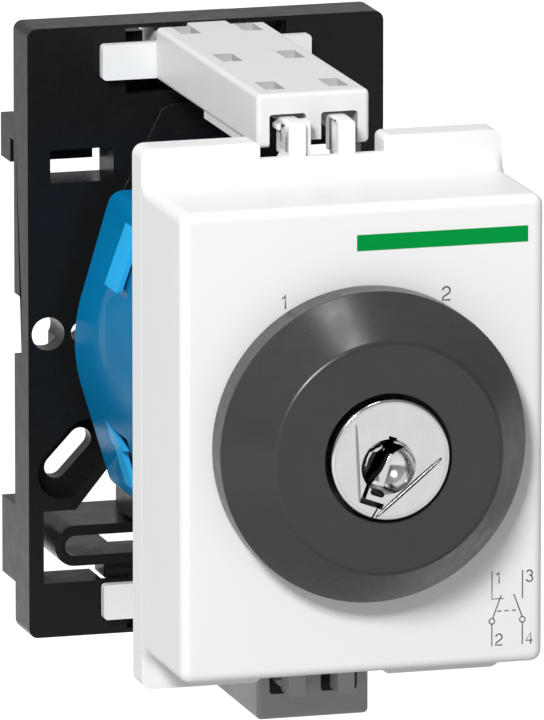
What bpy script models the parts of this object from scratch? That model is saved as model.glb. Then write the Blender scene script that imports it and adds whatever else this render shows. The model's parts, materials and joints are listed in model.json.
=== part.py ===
"""Key-operated changeover switch for a 35 mm mounting rail.

The design is laid out in panel coordinates, in millimetres: x to the right, up, and out
of the panel towards the person who turns the key. The rail seat is the plane out = 0 and
the rail's centre is x = up = 0. PANEL stands that layout up in the world, so x stays +X,
up becomes +Z and out becomes -Y.
"""
import math

import bmesh
import bpy
from mathutils import Matrix, Vector

MM = 0.001
PANEL = Matrix.Rotation(math.radians(90.0), 4, "X")
SIDE = Matrix(((0, 0, 1, 0), (0, 1, 0, 0), (-1, 0, 0, 0), (0, 0, 0, 1)))
GAP = 0.3

# Base plate
BASE_X = 18.0
BASE_UP = 30.3
BASE_OUT = 5.2
BASE_SKIN = 2.1
BASE_CORNER = 0.9
PLATEAU_OUT = 6.2
CENTRE_HOLE_R = 10.9
HOOK_OUT = -4.8
HOOK_INNER_X = 9.7
RAIL_FLANGE = 1.3
COLUMN_X = 7.65
CUTOUT_X = 16.5
CUTOUT_TOP = -17.67
CUTOUT_FLOOR = -24.87
SLOT_X = 8.1

# Rail latch
LATCH_X = 15.37
LATCH_TOP = -19.25
LATCH_REACH = -16.0
LATCH_FLOOR = -23.3
LATCH_WALL = 1.03
LEG_X = (6.4, 10.1)
LEG_FOOT = -25.0
LATCH_SPRING_X = 8.2
LATCH_SPRING_FLOOR = -28.6

# Arms that carry the cover
ARM_X = 5.55
ARM_WALL = 1.05
ARM_TOP = 30.2
LOWER_ARM_TOP = 30.7
ARM_CEILING = 28.2
ARM_FOOT = 25.0
ARM_OUT = (6.75, 42.5)
HOLE_PITCH = 14.6
CLIP_X = 10.8
CLIP_UP = (25.1, 28.7)
CLIP_OUT = (5.5, 6.6)

# Front cover
COVER_X = 17.8
COVER_UP = 26.2
COVER_REAR = 42.3
FLANGE_OUT = 45.4
NOSE_X = 17.7
NOSE_UP = 22.6
NOSE_OUT = 59.3
COVER_WALL = 1.4
FRONT_WALL = 1.8
LOCK_HOLE_R = 11.15
NOTCH_X = 6.1
NOTCH_FLOOR = 23.7

# Key bezel and lock
BEZEL_R = 14.95
BEZEL_BACK = 59.6
BEZEL_FACE = 67.7
BEZEL_BORE_R = 6.17
SHANK_R = 10.8
SHANK_END = 49.0
PLUG_FACE_R = 5.77
PLUG_FACE = 68.5
PLUG_R = 4.35
PLUG_END = 50.0
BARREL_R = 5.85
KEYWAY_TILT = 20.6

# Rotary switch
BODY_BACK = 9.0
BODY_FRONT = 30.7
BODY_TOP = 14.7
BODY_WAIST_X = 15.04
BODY_TOP_X = 10.63
CHAMBER_R = 7.2
CHAMBER_BACK = 10.3
DECK = (17.5, 22.5)
CAM_LOW_R = 5.4
CAM_LIFT = 1.2
SHAFT_HALF = 2.3
SOCKET_HALF = 2.6
TIE_X = 4.4
TIE_UP = 12.0
PLUNGER_LENGTH = 3.5
BRIDGE_THICK = 0.6
TIP_X = 9.2
TERMINAL_UP = 9.5
TERMINAL_OUT = 19.2
FOOT_UP = (11.0, 14.6)
FOOT_HOLE_R = 1.15
FOOT_SCREW = (-4.4, 12.9)
INDEX_OUT = (31.0, 38.5)
WHEEL_OUT = (32.0, 35.0)
WHEEL_R = 6.3
NOTCH_DEPTH = 0.9


# ---------------------------------------------------------------- scene and materials

def clear_scene():
    for item in list(bpy.data.objects):
        bpy.data.objects.remove(item, do_unlink=True)


def new_collection(name):
    collection = bpy.data.collections.new(name)
    bpy.context.scene.collection.children.link(collection)
    return collection


def plastic(name, colour, roughness, alpha=1.0, transmission=0.0):
    return surface(name, colour, roughness, 0.0, alpha, transmission)


def metal(name, colour, roughness):
    return surface(name, colour, roughness, 1.0)


def surface(name, colour, roughness, metallic, alpha=1.0, transmission=0.0):
    material = bpy.data.materials.new(name)
    material.use_nodes = True
    shader = material.node_tree.nodes["Principled BSDF"]
    shader.inputs["Base Color"].default_value = (*colour, 1.0)
    shader.inputs["Roughness"].default_value = roughness
    shader.inputs["Metallic"].default_value = metallic
    shader.inputs["Alpha"].default_value = alpha
    shader.inputs["Transmission Weight"].default_value = transmission
    material.diffuse_color = (*colour, alpha)
    return material


clear_scene()
PARTS = new_collection("selector_key_switch")
CUTTERS = new_collection("cutters")
JOINTS = new_collection("joint_axes")

BLACK = plastic("black_moulding", (0.022, 0.023, 0.025), 0.45)
BEZEL_BLACK = plastic("bezel_black", (0.05, 0.05, 0.052), 0.35)
WHITE = plastic("cover_white", (0.85, 0.86, 0.86), 0.3)
PALE = plastic("arm_pale_grey", (0.72, 0.74, 0.74), 0.35)
GREY = plastic("arm_grey", (0.26, 0.27, 0.27), 0.4)
BLUE = plastic("housing_blue", (0.0, 0.17, 0.38), 0.2, 0.85, 0.4)
CREAM = plastic("cam_natural", (0.55, 0.5, 0.4), 0.5)
CHROME = metal("lock_chrome", (0.8, 0.8, 0.8), 0.12)
BRASS = metal("contact_brass", (0.72, 0.52, 0.22), 0.3)
STEEL = metal("spring_steel", (0.55, 0.56, 0.58), 0.3)


# ---------------------------------------------------------------- outline helpers

def arc(centre, radius, start, end, steps):
    """Points on an arc, with both ends; angles in degrees."""
    angles = [math.radians(start + (end - start) * i / steps) for i in range(steps + 1)]
    return [(centre[0] + radius * math.cos(a), centre[1] + radius * math.sin(a)) for a in angles]


def rounded(corners, steps=4):
    """A closed outline from (x, y, radius) corners, each rounded with an arc."""
    outline = []
    count = len(corners)
    for index, (x, y, radius) in enumerate(corners):
        here = Vector((x, y))
        if radius <= 0:
            outline.append((x, y))
            continue
        before = (Vector(corners[index - 1][:2]) - here).normalized()
        after = (Vector(corners[(index + 1) % count][:2]) - here).normalized()
        half = math.acos(max(-1.0, min(1.0, before.dot(after)))) / 2
        centre = here + (before + after).normalized() * (radius / math.sin(half))
        first = here + before * (radius / math.tan(half)) - centre
        last = here + after * (radius / math.tan(half)) - centre
        start = math.atan2(first.y, first.x)
        sweep = (math.atan2(last.y, last.x) - start + math.pi) % (2 * math.pi) - math.pi
        for step in range(steps + 1):
            angle = start + sweep * step / steps
            outline.append((centre.x + radius * math.cos(angle), centre.y + radius * math.sin(angle)))
    return outline


def rectangle(x, y, radius=0.0, steps=3):
    """A rectangle from its x and y limits, with rounded corners."""
    corners = [(x[0], y[0], radius), (x[1], y[0], radius), (x[1], y[1], radius), (x[0], y[1], radius)]
    return rounded(corners, steps)


def circle(centre, radius, sides=24):
    return arc(centre, radius, 0, 360, sides)[:-1]


def capsule(first, second, radius, steps=8):
    """A slot outline round two end centres."""
    angle = math.degrees(math.atan2(second[1] - first[1], second[0] - first[0]))
    return (arc(second, radius, angle - 90, angle + 90, steps)
            + arc(first, radius, angle + 90, angle + 270, steps))


def both_sides(corners):
    """A full outline from its right half, listed from top to bottom."""
    return corners + [(-x, y, r) for x, y, r in reversed(corners)]


# ---------------------------------------------------------------- object helpers

def place(name, mesh, material, matrix=PANEL):
    """Link a mesh as an object: one with a material is a part, one without is a cutter."""
    piece = bpy.data.objects.new(name, mesh)
    piece.matrix_world = matrix
    if material is None:
        CUTTERS.objects.link(piece)
        piece.hide_render = True
        piece.display_type = "WIRE"
    else:
        PARTS.objects.link(piece)
        mesh.materials.clear()
        mesh.materials.append(material)
    return piece


def block(name, x, up, out, material=None):
    """A rectangular block from its limits in panel coordinates."""
    mesh = bpy.data.meshes.new(name)
    grid = bmesh.new()
    bmesh.ops.create_cube(grid, size=1.0)
    size = Vector((x[1] - x[0], up[1] - up[0], out[1] - out[0])) * MM
    middle = Vector((x[0] + x[1], up[0] + up[1], out[0] + out[1])) * MM / 2
    bmesh.ops.scale(grid, vec=size, verts=grid.verts)
    bmesh.ops.translate(grid, vec=middle, verts=grid.verts)
    grid.to_mesh(mesh)
    grid.free()
    return place(name, mesh, material)


def extruded(name, loops, depth, material=None, matrix=PANEL):
    """A flat outline, with any holes, drawn out between two depths along its normal."""
    curve = bpy.data.curves.new(name, "CURVE")
    curve.dimensions = "2D"
    curve.fill_mode = "BOTH"
    curve.extrude = (depth[1] - depth[0]) * MM / 2
    for loop in loops:
        spline = curve.splines.new("POLY")
        spline.points.add(len(loop) - 1)
        for point, (x, y) in zip(spline.points, loop):
            point.co = (x * MM, y * MM, 0.0, 1.0)
        spline.use_cyclic_u = True
    mesh = mesh_from_curve(name, curve)
    mesh.transform(Matrix.Translation((0, 0, (depth[0] + depth[1]) * MM / 2)))
    return place(name, mesh, material, matrix)


def mesh_from_curve(name, curve):
    """Turn a curve into a closed mesh with its caps welded on."""
    holder = bpy.data.objects.new(name + "_curve", curve)
    bpy.context.scene.collection.objects.link(holder)
    graph = bpy.context.evaluated_depsgraph_get()
    mesh = bpy.data.meshes.new_from_object(holder.evaluated_get(graph))
    bpy.data.objects.remove(holder, do_unlink=True)
    grid = bmesh.new()
    grid.from_mesh(mesh)
    bmesh.ops.remove_doubles(grid, verts=grid.verts, dist=1e-7)
    bmesh.ops.dissolve_limit(grid, angle_limit=1e-4, verts=grid.verts, edges=grid.edges)
    bmesh.ops.recalc_face_normals(grid, faces=grid.faces)
    grid.to_mesh(mesh)
    grid.free()
    mesh.name = name
    return mesh


def turned(name, profile, material=None, sides=40):
    """A turned piece about the key axis, from a closed (radius, out) profile.

    The profile runs down its outer side, from the front to the back, and returns inside.
    """
    mesh = bpy.data.meshes.new(name)
    points = [(radius * MM, 0.0, out * MM) for radius, out in profile]
    on_axis = profile[0][0] == 0.0
    edges = [(i, i + 1) for i in range(len(points) - 1)]
    if not on_axis:
        edges.append((len(points) - 1, 0))
    mesh.from_pydata(points, edges, [])
    piece = place(name, mesh, material)
    screw = piece.modifiers.new("Turn", "SCREW")
    screw.axis = "Z"
    screw.steps = sides
    screw.render_steps = sides
    screw.use_merge_vertices = True
    screw.merge_threshold = 1e-6
    screw.use_smooth_shade = True
    return piece


def rod(name, centre, radius, out, material=None, sides=16):
    """A round pin along the key's direction."""
    return extruded(name, [circle(centre, radius, sides)], out, material)


def cross_rod(name, up, out, radius, x, material=None, sides=16):
    """A round pin along x."""
    return extruded(name, [circle((-out, up), radius, sides)], x, material, PANEL @ SIDE)


def wire(name, points, radius, material):
    """A bent wire through panel points, closed at both ends."""
    curve = bpy.data.curves.new(name, "CURVE")
    curve.dimensions = "3D"
    curve.bevel_depth = radius * MM
    curve.bevel_resolution = 2
    curve.use_fill_caps = True
    spline = curve.splines.new("POLY")
    spline.points.add(len(points) - 1)
    for knot, point in zip(spline.points, points):
        knot.co = (*(Vector(point) * MM), 1.0)
    piece = bpy.data.objects.new(name, curve)
    piece.matrix_world = PANEL
    curve.materials.append(material)
    PARTS.objects.link(piece)
    return piece


def coil(name, start, axis, length, radius, wire_radius, turns, material, per_turn=8):
    """A compression spring from start along a panel axis, with a closed turn at each end."""
    along = Vector(axis)
    across = along.orthogonal().normalized()
    other = along.cross(across)
    rise = length - 2 * wire_radius
    total = turns * per_turn
    points = []
    for step in range(total + 1):
        angle = 2 * math.pi * step / per_turn
        height = wire_radius + rise * step / total
        ring = across * math.cos(angle) + other * math.sin(angle)
        points.append(Vector(start) + along * height + ring * (radius - wire_radius))
    return wire(name, points, wire_radius, material)


def combine(piece, others, operation):
    for other in others:
        modifier = piece.modifiers.new(other.name, "BOOLEAN")
        modifier.operation = operation
        modifier.solver = "EXACT"
        modifier.object = other
    return piece


def cut(piece, *cutters):
    return combine(piece, cutters, "DIFFERENCE")


def join(piece, *others):
    return combine(piece, others, "UNION")


def soften(piece, width, segments=1, angle=40.0):
    """Break the sharp edges of a piece."""
    bevel = piece.modifiers.new("Edges", "BEVEL")
    bevel.width = width * MM
    bevel.segments = segments
    bevel.limit_method = "ANGLE"
    bevel.angle_limit = math.radians(angle)
    return piece


def smooth(piece):
    piece.data.shade_smooth()
    piece.data.set_sharp_from_angle(angle=math.radians(35.0))
    return piece


def joint_axis(name, panel_point, pieces):
    """Parent moving pieces to an empty on their joint's axis."""
    empty = bpy.data.objects.new(name, None)
    empty.empty_display_size = 5 * MM
    empty.matrix_world = PANEL @ Matrix.Translation(Vector(panel_point) * MM)
    JOINTS.objects.link(empty)
    for piece in pieces:
        piece.parent = empty
        piece.matrix_parent_inverse = empty.matrix_world.inverted()
    return empty


def mirrored_x(limits, side):
    """x limits for the right (side +1) or left (side -1) copy of a piece."""
    return (limits[0], limits[1]) if side > 0 else (-limits[1], -limits[0])


# ---------------------------------------------------------------- base plate and latch

def base_plate():
    outline = rectangle((-BASE_X, BASE_X), (-BASE_UP, BASE_UP), BASE_CORNER, 3)
    plate = extruded("base_plate", [outline], (0, BASE_OUT), BLACK)
    soften(plate, 0.3, 2)
    solids = [base_plateau()]
    for side, word in ((1, "right"), (-1, "left")):
        solids += base_side_solids(side, word)
    join(plate, *solids)
    cut(plate, *base_openings())
    return smooth(plate)


def base_plateau():
    """The raised field round the centre hole, narrowing towards the top."""
    half = [(3.3, 22.3, 1.4), (5.1, 21.2, 1.4), (11.2, 9.0, 1.0), (9.0, 4.6, 1.0), (9.0, -4.6, 1.0),
            (11.2, -9.0, 1.0), (COLUMN_X, -12.0, 0.6), (COLUMN_X, -18.9, 0.4)]
    return extruded("plateau", [rounded(both_sides(half))], (3.4, PLATEAU_OUT))


def base_side_solids(side, word):
    """The upper rail hook with its lip, and the cheek that guides the latch."""
    hook_x = mirrored_x((HOOK_INNER_X, BASE_X), side)
    hook = block("hook_" + word, hook_x, (18.4, 20.3), (HOOK_OUT, 0.5))
    lip = block("lip_" + word, hook_x, (16.0, 18.7), (HOOK_OUT, -RAIL_FLANGE))
    cheek_x = mirrored_x((CUTOUT_X, BASE_X), side)
    cheek = block("cheek_" + word, cheek_x, (-25.7, -18.0), (HOOK_OUT - 0.1, 0.5))
    return [hook, lip, cheek]


def base_openings():
    screw_depth = (-1, BASE_OUT - BASE_SKIN)
    cutters = [
        rod("centre_hole", (0, 0), CENTRE_HOLE_R, (-1, 9), sides=72),
        block("upper_slot", (-SLOT_X, SLOT_X), (23.4, 29.9), (-1, 9)),
        block("lower_slot", (-5.3, 5.3), (-29.7, -25.9), (-1, 9)),
        block("lower_slot_mouth", (-SLOT_X, SLOT_X), (-29.85, -27.2), (3.9, 9)),
        block("latch_bay", (-CUTOUT_X, CUTOUT_X), (CUTOUT_FLOOR, -18.9), (-1, 9)),
    ]
    for row, word in ((1, "upper"), (-1, "lower")):
        centre = (row * FOOT_SCREW[0], row * FOOT_SCREW[1])
        cutters.append(rod("screw_hole_" + word, centre, FOOT_HOLE_R, (-1, 9)))
        cutters.append(rod("screw_pocket_" + word, centre, 2.2, screw_depth, sides=24))
    for side, word in ((1, "right"), (-1, "left")):
        cutters += base_side_openings(side, word)
    return cutters


def base_side_openings(side, word):
    """Everything that is cut out of one half of the plate."""
    def across(low, high):
        return mirrored_x((low, high), side)

    def flipped(points):
        return [(side * x, y) for x, y in points]

    slot_ends = ((side * 11.95, -11.3), (side * 14.45, -13.95))
    bay = [(CUTOUT_X, -19.2, 0), (CUTOUT_X, CUTOUT_TOP, 0), (13.27, CUTOUT_TOP, 0),
           (COLUMN_X, -10.8, 0.5), (COLUMN_X, -19.2, 0)]
    pocket_depth = (-1, BASE_OUT - BASE_SKIN)
    return [
        block("window_" + word, across(9.36, 15.72), (14.97, 18.24), (-1.1, 9)),
        rod("side_hole_" + word, (side * 16.0, 0.05), 1.64, (-1, 9), sides=24),
        rod("pilot_hole_" + word, (side * 12.6, 0.0), 1.1, (-1, 9)),
        extruded("long_slot_" + word, [capsule(*slot_ends, 1.12)], (-1, 9)),
        extruded("long_recess_" + word, [capsule(*slot_ends, 2.65)], (2.0, 9)),
        extruded("strut_bay_" + word, [flipped(rounded(bay))], (-1, 9)),
        block("side_notch_" + word, across(14.6, 19.0), (-2.8, 3.25), (-1, 2.65)),
        block("upper_pocket_" + word, across(9.6, 16.4), (21.6, 28.8), pocket_depth),
        block("side_pocket_" + word, across(11.0, 16.4), (4.6, 13.6), pocket_depth),
        block("lower_pocket_" + word, across(11.6, 16.4), (-28.8, -26.3), pocket_depth),
        block("leg_pocket_" + word, across(6.0, 10.5), (-26.6, -24.0), (-1, 4.4)),
        block("spring_pocket_" + word, across(6.6, 9.8), (-28.9, -26.0), (-1, 3.5)),
    ]


def din_latch():
    """The sprung loop that slides down to let the rail go."""
    outer = rectangle((-LATCH_X, LATCH_X), (LATCH_FLOOR, LATCH_TOP), 2.02, 6)
    inner = rectangle((LATCH_WALL - LATCH_X, LATCH_X - LATCH_WALL),
                      (LATCH_FLOOR + LATCH_WALL - 0.02, LATCH_TOP - LATCH_WALL), 0.98, 5)
    latch = extruded("din_latch", [outer, inner], (HOOK_OUT, BASE_OUT), BLACK)
    root = LATCH_TOP - 0.6
    lip_profile = [(-HOOK_OUT, root), (-HOOK_OUT, LATCH_REACH - 1.4), (-HOOK_OUT - 1.4, LATCH_REACH),
                   (RAIL_FLANGE, LATCH_REACH), (RAIL_FLANGE, root)]
    lip = extruded("latch_lip", [lip_profile], (-6.5, 6.5), None, PANEL @ SIDE)
    join(latch, lip)
    for side, word in ((1, "right"), (-1, "left")):
        leg = block("leg_" + word, mirrored_x(LEG_X, side), (LEG_FOOT, LATCH_FLOOR + 0.6), (0.4, 4.1))
        join(latch, leg)
    cut(latch, block("latch_relief", (-8.6, 8.6), (-24.0, LATCH_FLOOR + LATCH_WALL + 0.4), (-6, 0.0)))
    return smooth(latch)


def latch_springs():
    springs = []
    for side, word in ((1, "right"), (-1, "left")):
        start = (side * LATCH_SPRING_X, LATCH_SPRING_FLOOR, 1.9)
        length = LEG_FOOT - GAP - LATCH_SPRING_FLOOR
        springs.append(coil("latch_spring_" + word, start, (0, 1, 0), length, 1.15, 0.17, 3, STEEL))
    return springs


# ---------------------------------------------------------------- arms

def arm(name, side, top, material):
    """One U-section arm, above (side +1) or below (side -1) the cover."""
    def up(low, high):
        return mirrored_x((low, high), side)

    beam = block(name, (-ARM_X, ARM_X), up(ARM_FOOT, top), ARM_OUT, material)
    soften(beam, 0.35, 2)
    inner_x = ARM_X - ARM_WALL
    foot = up(24.0, ARM_CEILING)
    cut(beam, block(name + "_channel_left", (-inner_x, -0.75), foot, (0, 60)),
        block(name + "_channel_right", (0.75, inner_x), foot, (0, 60)),
        block(name + "_rib_foot", (-1.5, 1.5), up(24.0, 25.4), (0, 60)))
    for row in range(3):
        for column in (-1, 1):
            x = mirrored_x((2.15, 4.1), column)
            start = ARM_OUT[0] + 0.45 + HOLE_PITCH * row
            cut(beam, block(name + "_hole", x, up(28.7, 32.0), (start, start + 3.9)))
    for column in (-1, 1):
        ledge_x = mirrored_x((ARM_X - 0.75, ARM_X - 0.3), column)
        join(beam, block(name + "_ledge", ledge_x, up(24.25, 25.4), (23.0, 41.4)))
    return smooth(beam)


def clip(name, side, material):
    """The cross-bar plate that snaps through the base and carries an arm."""
    def up(low, high):
        return mirrored_x((low, high), side)

    plate = extruded(name, [rectangle((-CLIP_X, CLIP_X), up(*CLIP_UP), 0.5)], CLIP_OUT, material)
    stub = block(name + "_stub", (-4.9, 4.9), up(26.3, 29.3), (-0.9, CLIP_OUT[0] + 0.4))
    barb = block(name + "_barb", (-3.6, 3.6), up(29.1, 30.2), (-0.9, -GAP))
    join(plate, stub, barb)
    for column in (-1, 1):
        peg_x = mirrored_x((1.1, 4.15), column)
        join(plate, block(name + "_peg", peg_x, up(26.0, 27.9), (CLIP_OUT[1] - 0.4, 11.0)))
    return smooth(plate)


# ---------------------------------------------------------------- front cover

def front_cover():
    flange = rectangle((-COVER_X, COVER_X), (-COVER_UP, COVER_UP), 1.1, 4)
    cover = extruded("front_cover", [flange], (COVER_REAR, FLANGE_OUT), WHITE)
    soften(cover, 0.35, 2)
    nose = block("nose", (-NOSE_X, NOSE_X), (-NOSE_UP, NOSE_UP), (FLANGE_OUT - 1.2, NOSE_OUT))
    soften(nose, 1.0, 3)
    join(cover, nose)
    for side, word in ((1, "upper"), (-1, "lower")):
        notch = both_sides([(NOTCH_X, 27.5, 0), (NOTCH_X, NOTCH_FLOOR, 0.3)])
        notch = [(x, side * y) for x, y in rounded(notch)]
        cut(cover, extruded("arm_notch_" + word, [notch], (COVER_REAR - 1, FLANGE_OUT + 1)))
        join(cover, *prongs(side, word))
    inner_x = NOSE_X - COVER_WALL
    inner_up = NOSE_UP - 1.3
    cavity_out = (COVER_REAR - 1, NOSE_OUT - FRONT_WALL)
    cut(cover, block("cavity", (-inner_x, inner_x), (-inner_up, inner_up), cavity_out),
        rod("lock_hole", (0, 0), LOCK_HOLE_R, (NOSE_OUT - 4, NOSE_OUT + 1), sides=40))
    for side in (1, -1):
        for column in (-1, 1):
            x = mirrored_x((7.3, 16.6), column)
            up = mirrored_x((22.4, 25.1), side)
            cut(cover, block("shoulder_pocket", x, up, (COVER_REAR - 1, FLANGE_OUT - 1.4)))
    return smooth(cover)


def prongs(side, word):
    """The two snap prongs that reach into an arm's mouth."""
    pair = []
    for column in (-1, 1):
        x = mirrored_x((1.45, 3.3), column)
        up = mirrored_x((NOTCH_FLOOR - 0.4, 27.8), side)
        prong = block("prong_" + word, x, up, (43.1, FLANGE_OUT))
        barb_x = mirrored_x((1.9, 3.9), column)
        barb_up = mirrored_x((26.6, 27.8), side)
        pair += [prong, block("prong_barb_" + word, barb_x, barb_up, (40.4, 43.6))]
    return pair


# ---------------------------------------------------------------- key bezel and lock

def key_bezel():
    profile = [(10.95, BEZEL_FACE), (11.45, 67.3), (14.7, 62.9), (BEZEL_R, 62.5), (BEZEL_R, BEZEL_BACK),
               (SHANK_R, BEZEL_BACK), (SHANK_R, SHANK_END), (BEZEL_BORE_R, SHANK_END),
               (BEZEL_BORE_R, BEZEL_FACE)]
    return turned("key_bezel", profile, BEZEL_BLACK, 48)


def lock_nut():
    hexagon = circle((0, 0), 14.4, 6)
    nut = extruded("lock_nut", [hexagon, circle((0, 0), SHANK_R + GAP, 40)], (54.2, 57.2), BLACK)
    return smooth(nut)


def lock_barrel():
    inner = PLUG_R + 0.15
    profile = [(BARREL_R, 65.7), (BARREL_R, 51.5), (inner, 51.5), (inner, 65.7)]
    return turned("lock_barrel", profile, BRASS)


def lock_plug():
    """The rotor with its face, keyway and tail; it turns on the key axis."""
    profile = [(0.0, PLUG_FACE), (PLUG_FACE_R - 0.25, PLUG_FACE), (PLUG_FACE_R, PLUG_FACE - 0.25),
               (PLUG_FACE_R, 66.0), (PLUG_R, 66.0), (PLUG_R, 51.2), (3.5, 51.2), (3.5, 50.4),
               (PLUG_R, 50.4), (PLUG_R, PLUG_END), (0.0, PLUG_END)]
    plug = turned("lock_plug", profile, CHROME)
    tail = block("plug_tail", (-2.7, 2.7), (-1.0, 1.0), (47.2, PLUG_END + 0.5))
    floor = PLUG_FACE - 0.9
    recess = turned("key_recess", [(0.0, 70.0), (2.5, 70.0), (2.5, floor), (0.0, floor)], None, 24)
    recess.matrix_world = PANEL @ Matrix.Translation((-0.24 * MM, -0.63 * MM, 0))
    lean = Matrix.Rotation(math.radians(-KEYWAY_TILT), 4, "Z")
    keyway = block("keyway", (-0.75, 0.75), (-3.1, 2.8), (53.0, 70.0))
    keyway.matrix_world = PANEL @ Matrix.Translation((-0.6 * MM, -0.7 * MM, 0)) @ lean
    join(plug, tail)
    cut(plug, recess, keyway)
    return smooth(plug)


def plug_clip():
    """An open ring in the groove behind the barrel."""
    ring = arc((0, 0), 5.2, 125, 415, 24) + arc((0, 0), 3.75, 415, 125, 24)
    return smooth(extruded("plug_clip", [ring], (50.55, 51.05), STEEL))


def drive_coupling():
    """The sleeve that takes the plug's tail at the front and the square shaft at the back."""
    sleeve = rod("drive_coupling", (0, 0), 4.6, (40.5, 49.6), BLACK, 32)
    socket = (-SOCKET_HALF, SOCKET_HALF)
    cut(sleeve, block("shaft_socket", socket, socket, (40, 46.4)),
        block("tail_slot", (-5.5, 5.5), (-1.3, 1.3), (46.9, 50)))
    return smooth(sleeve)


# ---------------------------------------------------------------- rotary switch

def body_outline():
    """Flat top and bottom with flanks that lean out to a soft waist."""
    half = [(BODY_TOP_X, BODY_TOP, 1.6), (BODY_WAIST_X, 0.0, 15.7), (BODY_TOP_X, -BODY_TOP, 1.6)]
    return rounded(both_sides(half), 6)


def switch_foot(word, row):
    """A pad under one end of the switch, which a base screw pulls against the plateau."""
    outline = rectangle((-7.4, 7.4), mirrored_x(FOOT_UP, row), 0.8)
    screw_hole = circle((row * FOOT_SCREW[0], row * FOOT_SCREW[1]), FOOT_HOLE_R, 16)
    depth = (PLATEAU_OUT + GAP, BODY_BACK - GAP)
    return smooth(extruded("switch_foot_" + word, [outline, screw_hole], depth, BLUE))


def contact_housing():
    """The translucent body: a cam chamber, two bridge channels and four terminal bays."""
    body = extruded("contact_housing", [body_outline()], (BODY_BACK, BODY_FRONT), BLUE)
    soften(body, 0.3)
    cutters = [rod("chamber", (0, 0), CHAMBER_R, (CHAMBER_BACK, BODY_FRONT + 1), sides=32),
               block("bridge_channel", (-13.3, 13.3), (-6.3, 6.3), (16.2, 23.8))]
    for side, word in ((1, "right"), (-1, "left")):
        for row in (1, -1):
            name = word + ("_upper" if row > 0 else "_lower")
            up = mirrored_x((5.5, 12.9), row)
            mouth_up = mirrored_x((6.9, 12.9), row)
            cutters.append(block("bay_" + name, mirrored_x((6.6, 10.0), side), up, (15.6, 22.8)))
            cutters.append(block("mouth_" + name, mirrored_x((9.0, 17.0), side), mouth_up, (15.6, 22.8)))
    for row in (1, -1):
        centre = (row * TIE_X, row * TIE_UP)
        cutters.append(rod("tie_hole", centre, 1.2, (BODY_BACK + 2, BODY_FRONT + 1)))
    cut(body, *cutters)
    return smooth(body)


def index_plate():
    """The front plate of the switch, with the pocket for the detent wheel."""
    outline = rectangle((-13.4, 13.4), (-14.2, 14.2), 2.5)
    plate = extruded("index_plate", [outline], INDEX_OUT, BLACK)
    soften(plate, 0.3)
    cut(plate, rod("wheel_pocket", (0, 0), WHEEL_R + 0.9, (30, 36.3), sides=32),
        rod("shaft_hole", (0, 0), 3.9, (30, 40), sides=24),
        block("plunger_channel", (-1.4, 1.4), (5.0, 13.0), (30, 34.9)))
    for row in (1, -1):
        cut(plate, rod("tie_passage", (row * TIE_X, row * TIE_UP), 1.2, (30, 40)))
    return smooth(plate)


def square_shaft():
    side = (-SHAFT_HALF, SHAFT_HALF)
    return soften(block("cam_shaft", side, side, (CHAMBER_BACK + 0.4, 46.0), STEEL), 0.25)


def cam_radius(angle):
    """Cam radius at an angle in degrees: low, a 60 degree rise, high, a 60 degree fall."""
    if angle < 120:
        lift = 0.0
    elif angle < 180:
        lift = (angle - 120) / 60
    elif angle < 300:
        lift = 1.0
    else:
        lift = (360 - angle) / 60
    return CAM_LOW_R + CAM_LIFT * lift


def square(half):
    return rectangle((-half, half), (-half, half))


def cam_disc():
    angles = range(0, 360, 10)
    profile = [(cam_radius(a) * math.cos(math.radians(a)), cam_radius(a) * math.sin(math.radians(a)))
               for a in angles]
    return smooth(extruded("cam_disc", [profile, square(SOCKET_HALF)], DECK, CREAM))


def detent_wheel():
    """A round wheel with a notch every 60 degrees, in line with the two key positions."""
    profile = []
    for degrees in range(0, 360, 5):
        from_notch = min(degrees % 60, 60 - degrees % 60)
        radius = WHEEL_R - NOTCH_DEPTH * max(0.0, 1.0 - from_notch / 8)
        angle = math.radians(degrees + 30)
        profile.append((radius * math.cos(angle), radius * math.sin(angle)))
    return smooth(extruded("detent_wheel", [profile, square(SOCKET_HALF)], WHEEL_OUT, CREAM))


def detent():
    """The sprung pin over the wheel."""
    tip = WHEEL_R + GAP
    top = tip + 2.7
    outline = rounded([(-1.05, top, 0.2), (-1.05, tip, 0.9), (1.05, tip, 0.9), (1.05, top, 0.2)])
    pin = smooth(extruded("detent_plunger", [outline], (WHEEL_OUT[0] + 0.3, WHEEL_OUT[1] - 0.4), STEEL))
    start = (0, top + GAP, 33.45)
    spring = coil("detent_spring", start, (0, 1, 0), 12.7 - start[1], 1.0, 0.15, 3, STEEL)
    return pin, spring


def contact_set(side, word, nose_radius):
    """The plunger, bridge and spring of one contact; its nose rides on the cam."""
    start = nose_radius + GAP
    end = start + PLUNGER_LENGTH
    middle = (DECK[0] + DECK[1]) / 2
    outline = rounded([(start, -0.7, 0.3), (start + 1.2, -1.6, 0), (end, -1.6, 0), (end, 1.6, 0),
                       (start + 1.2, 1.6, 0), (start, 0.7, 0.3)], 2)
    outline = [(side * x, y) for x, y in outline]
    plunger = smooth(extruded("plunger_" + word, [outline], (middle - 1.8, middle + 1.8), CREAM))
    bridge_x = (end + GAP, end + GAP + BRIDGE_THICK)
    bridge = block("contact_bridge_" + word, mirrored_x(bridge_x, side), (-5.6, 5.6),
                   (middle - 1.6, middle + 1.6), BRASS)
    soften(bridge, 0.15)
    spring_start = (side * (bridge_x[1] + 0.25), 0, middle)
    length = 13.1 - (bridge_x[1] + 0.25)
    spring = coil("contact_spring_" + word, spring_start, (side, 0, 0), length, 1.3, 0.13, 3, STEEL)
    return plunger, bridge, spring


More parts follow.
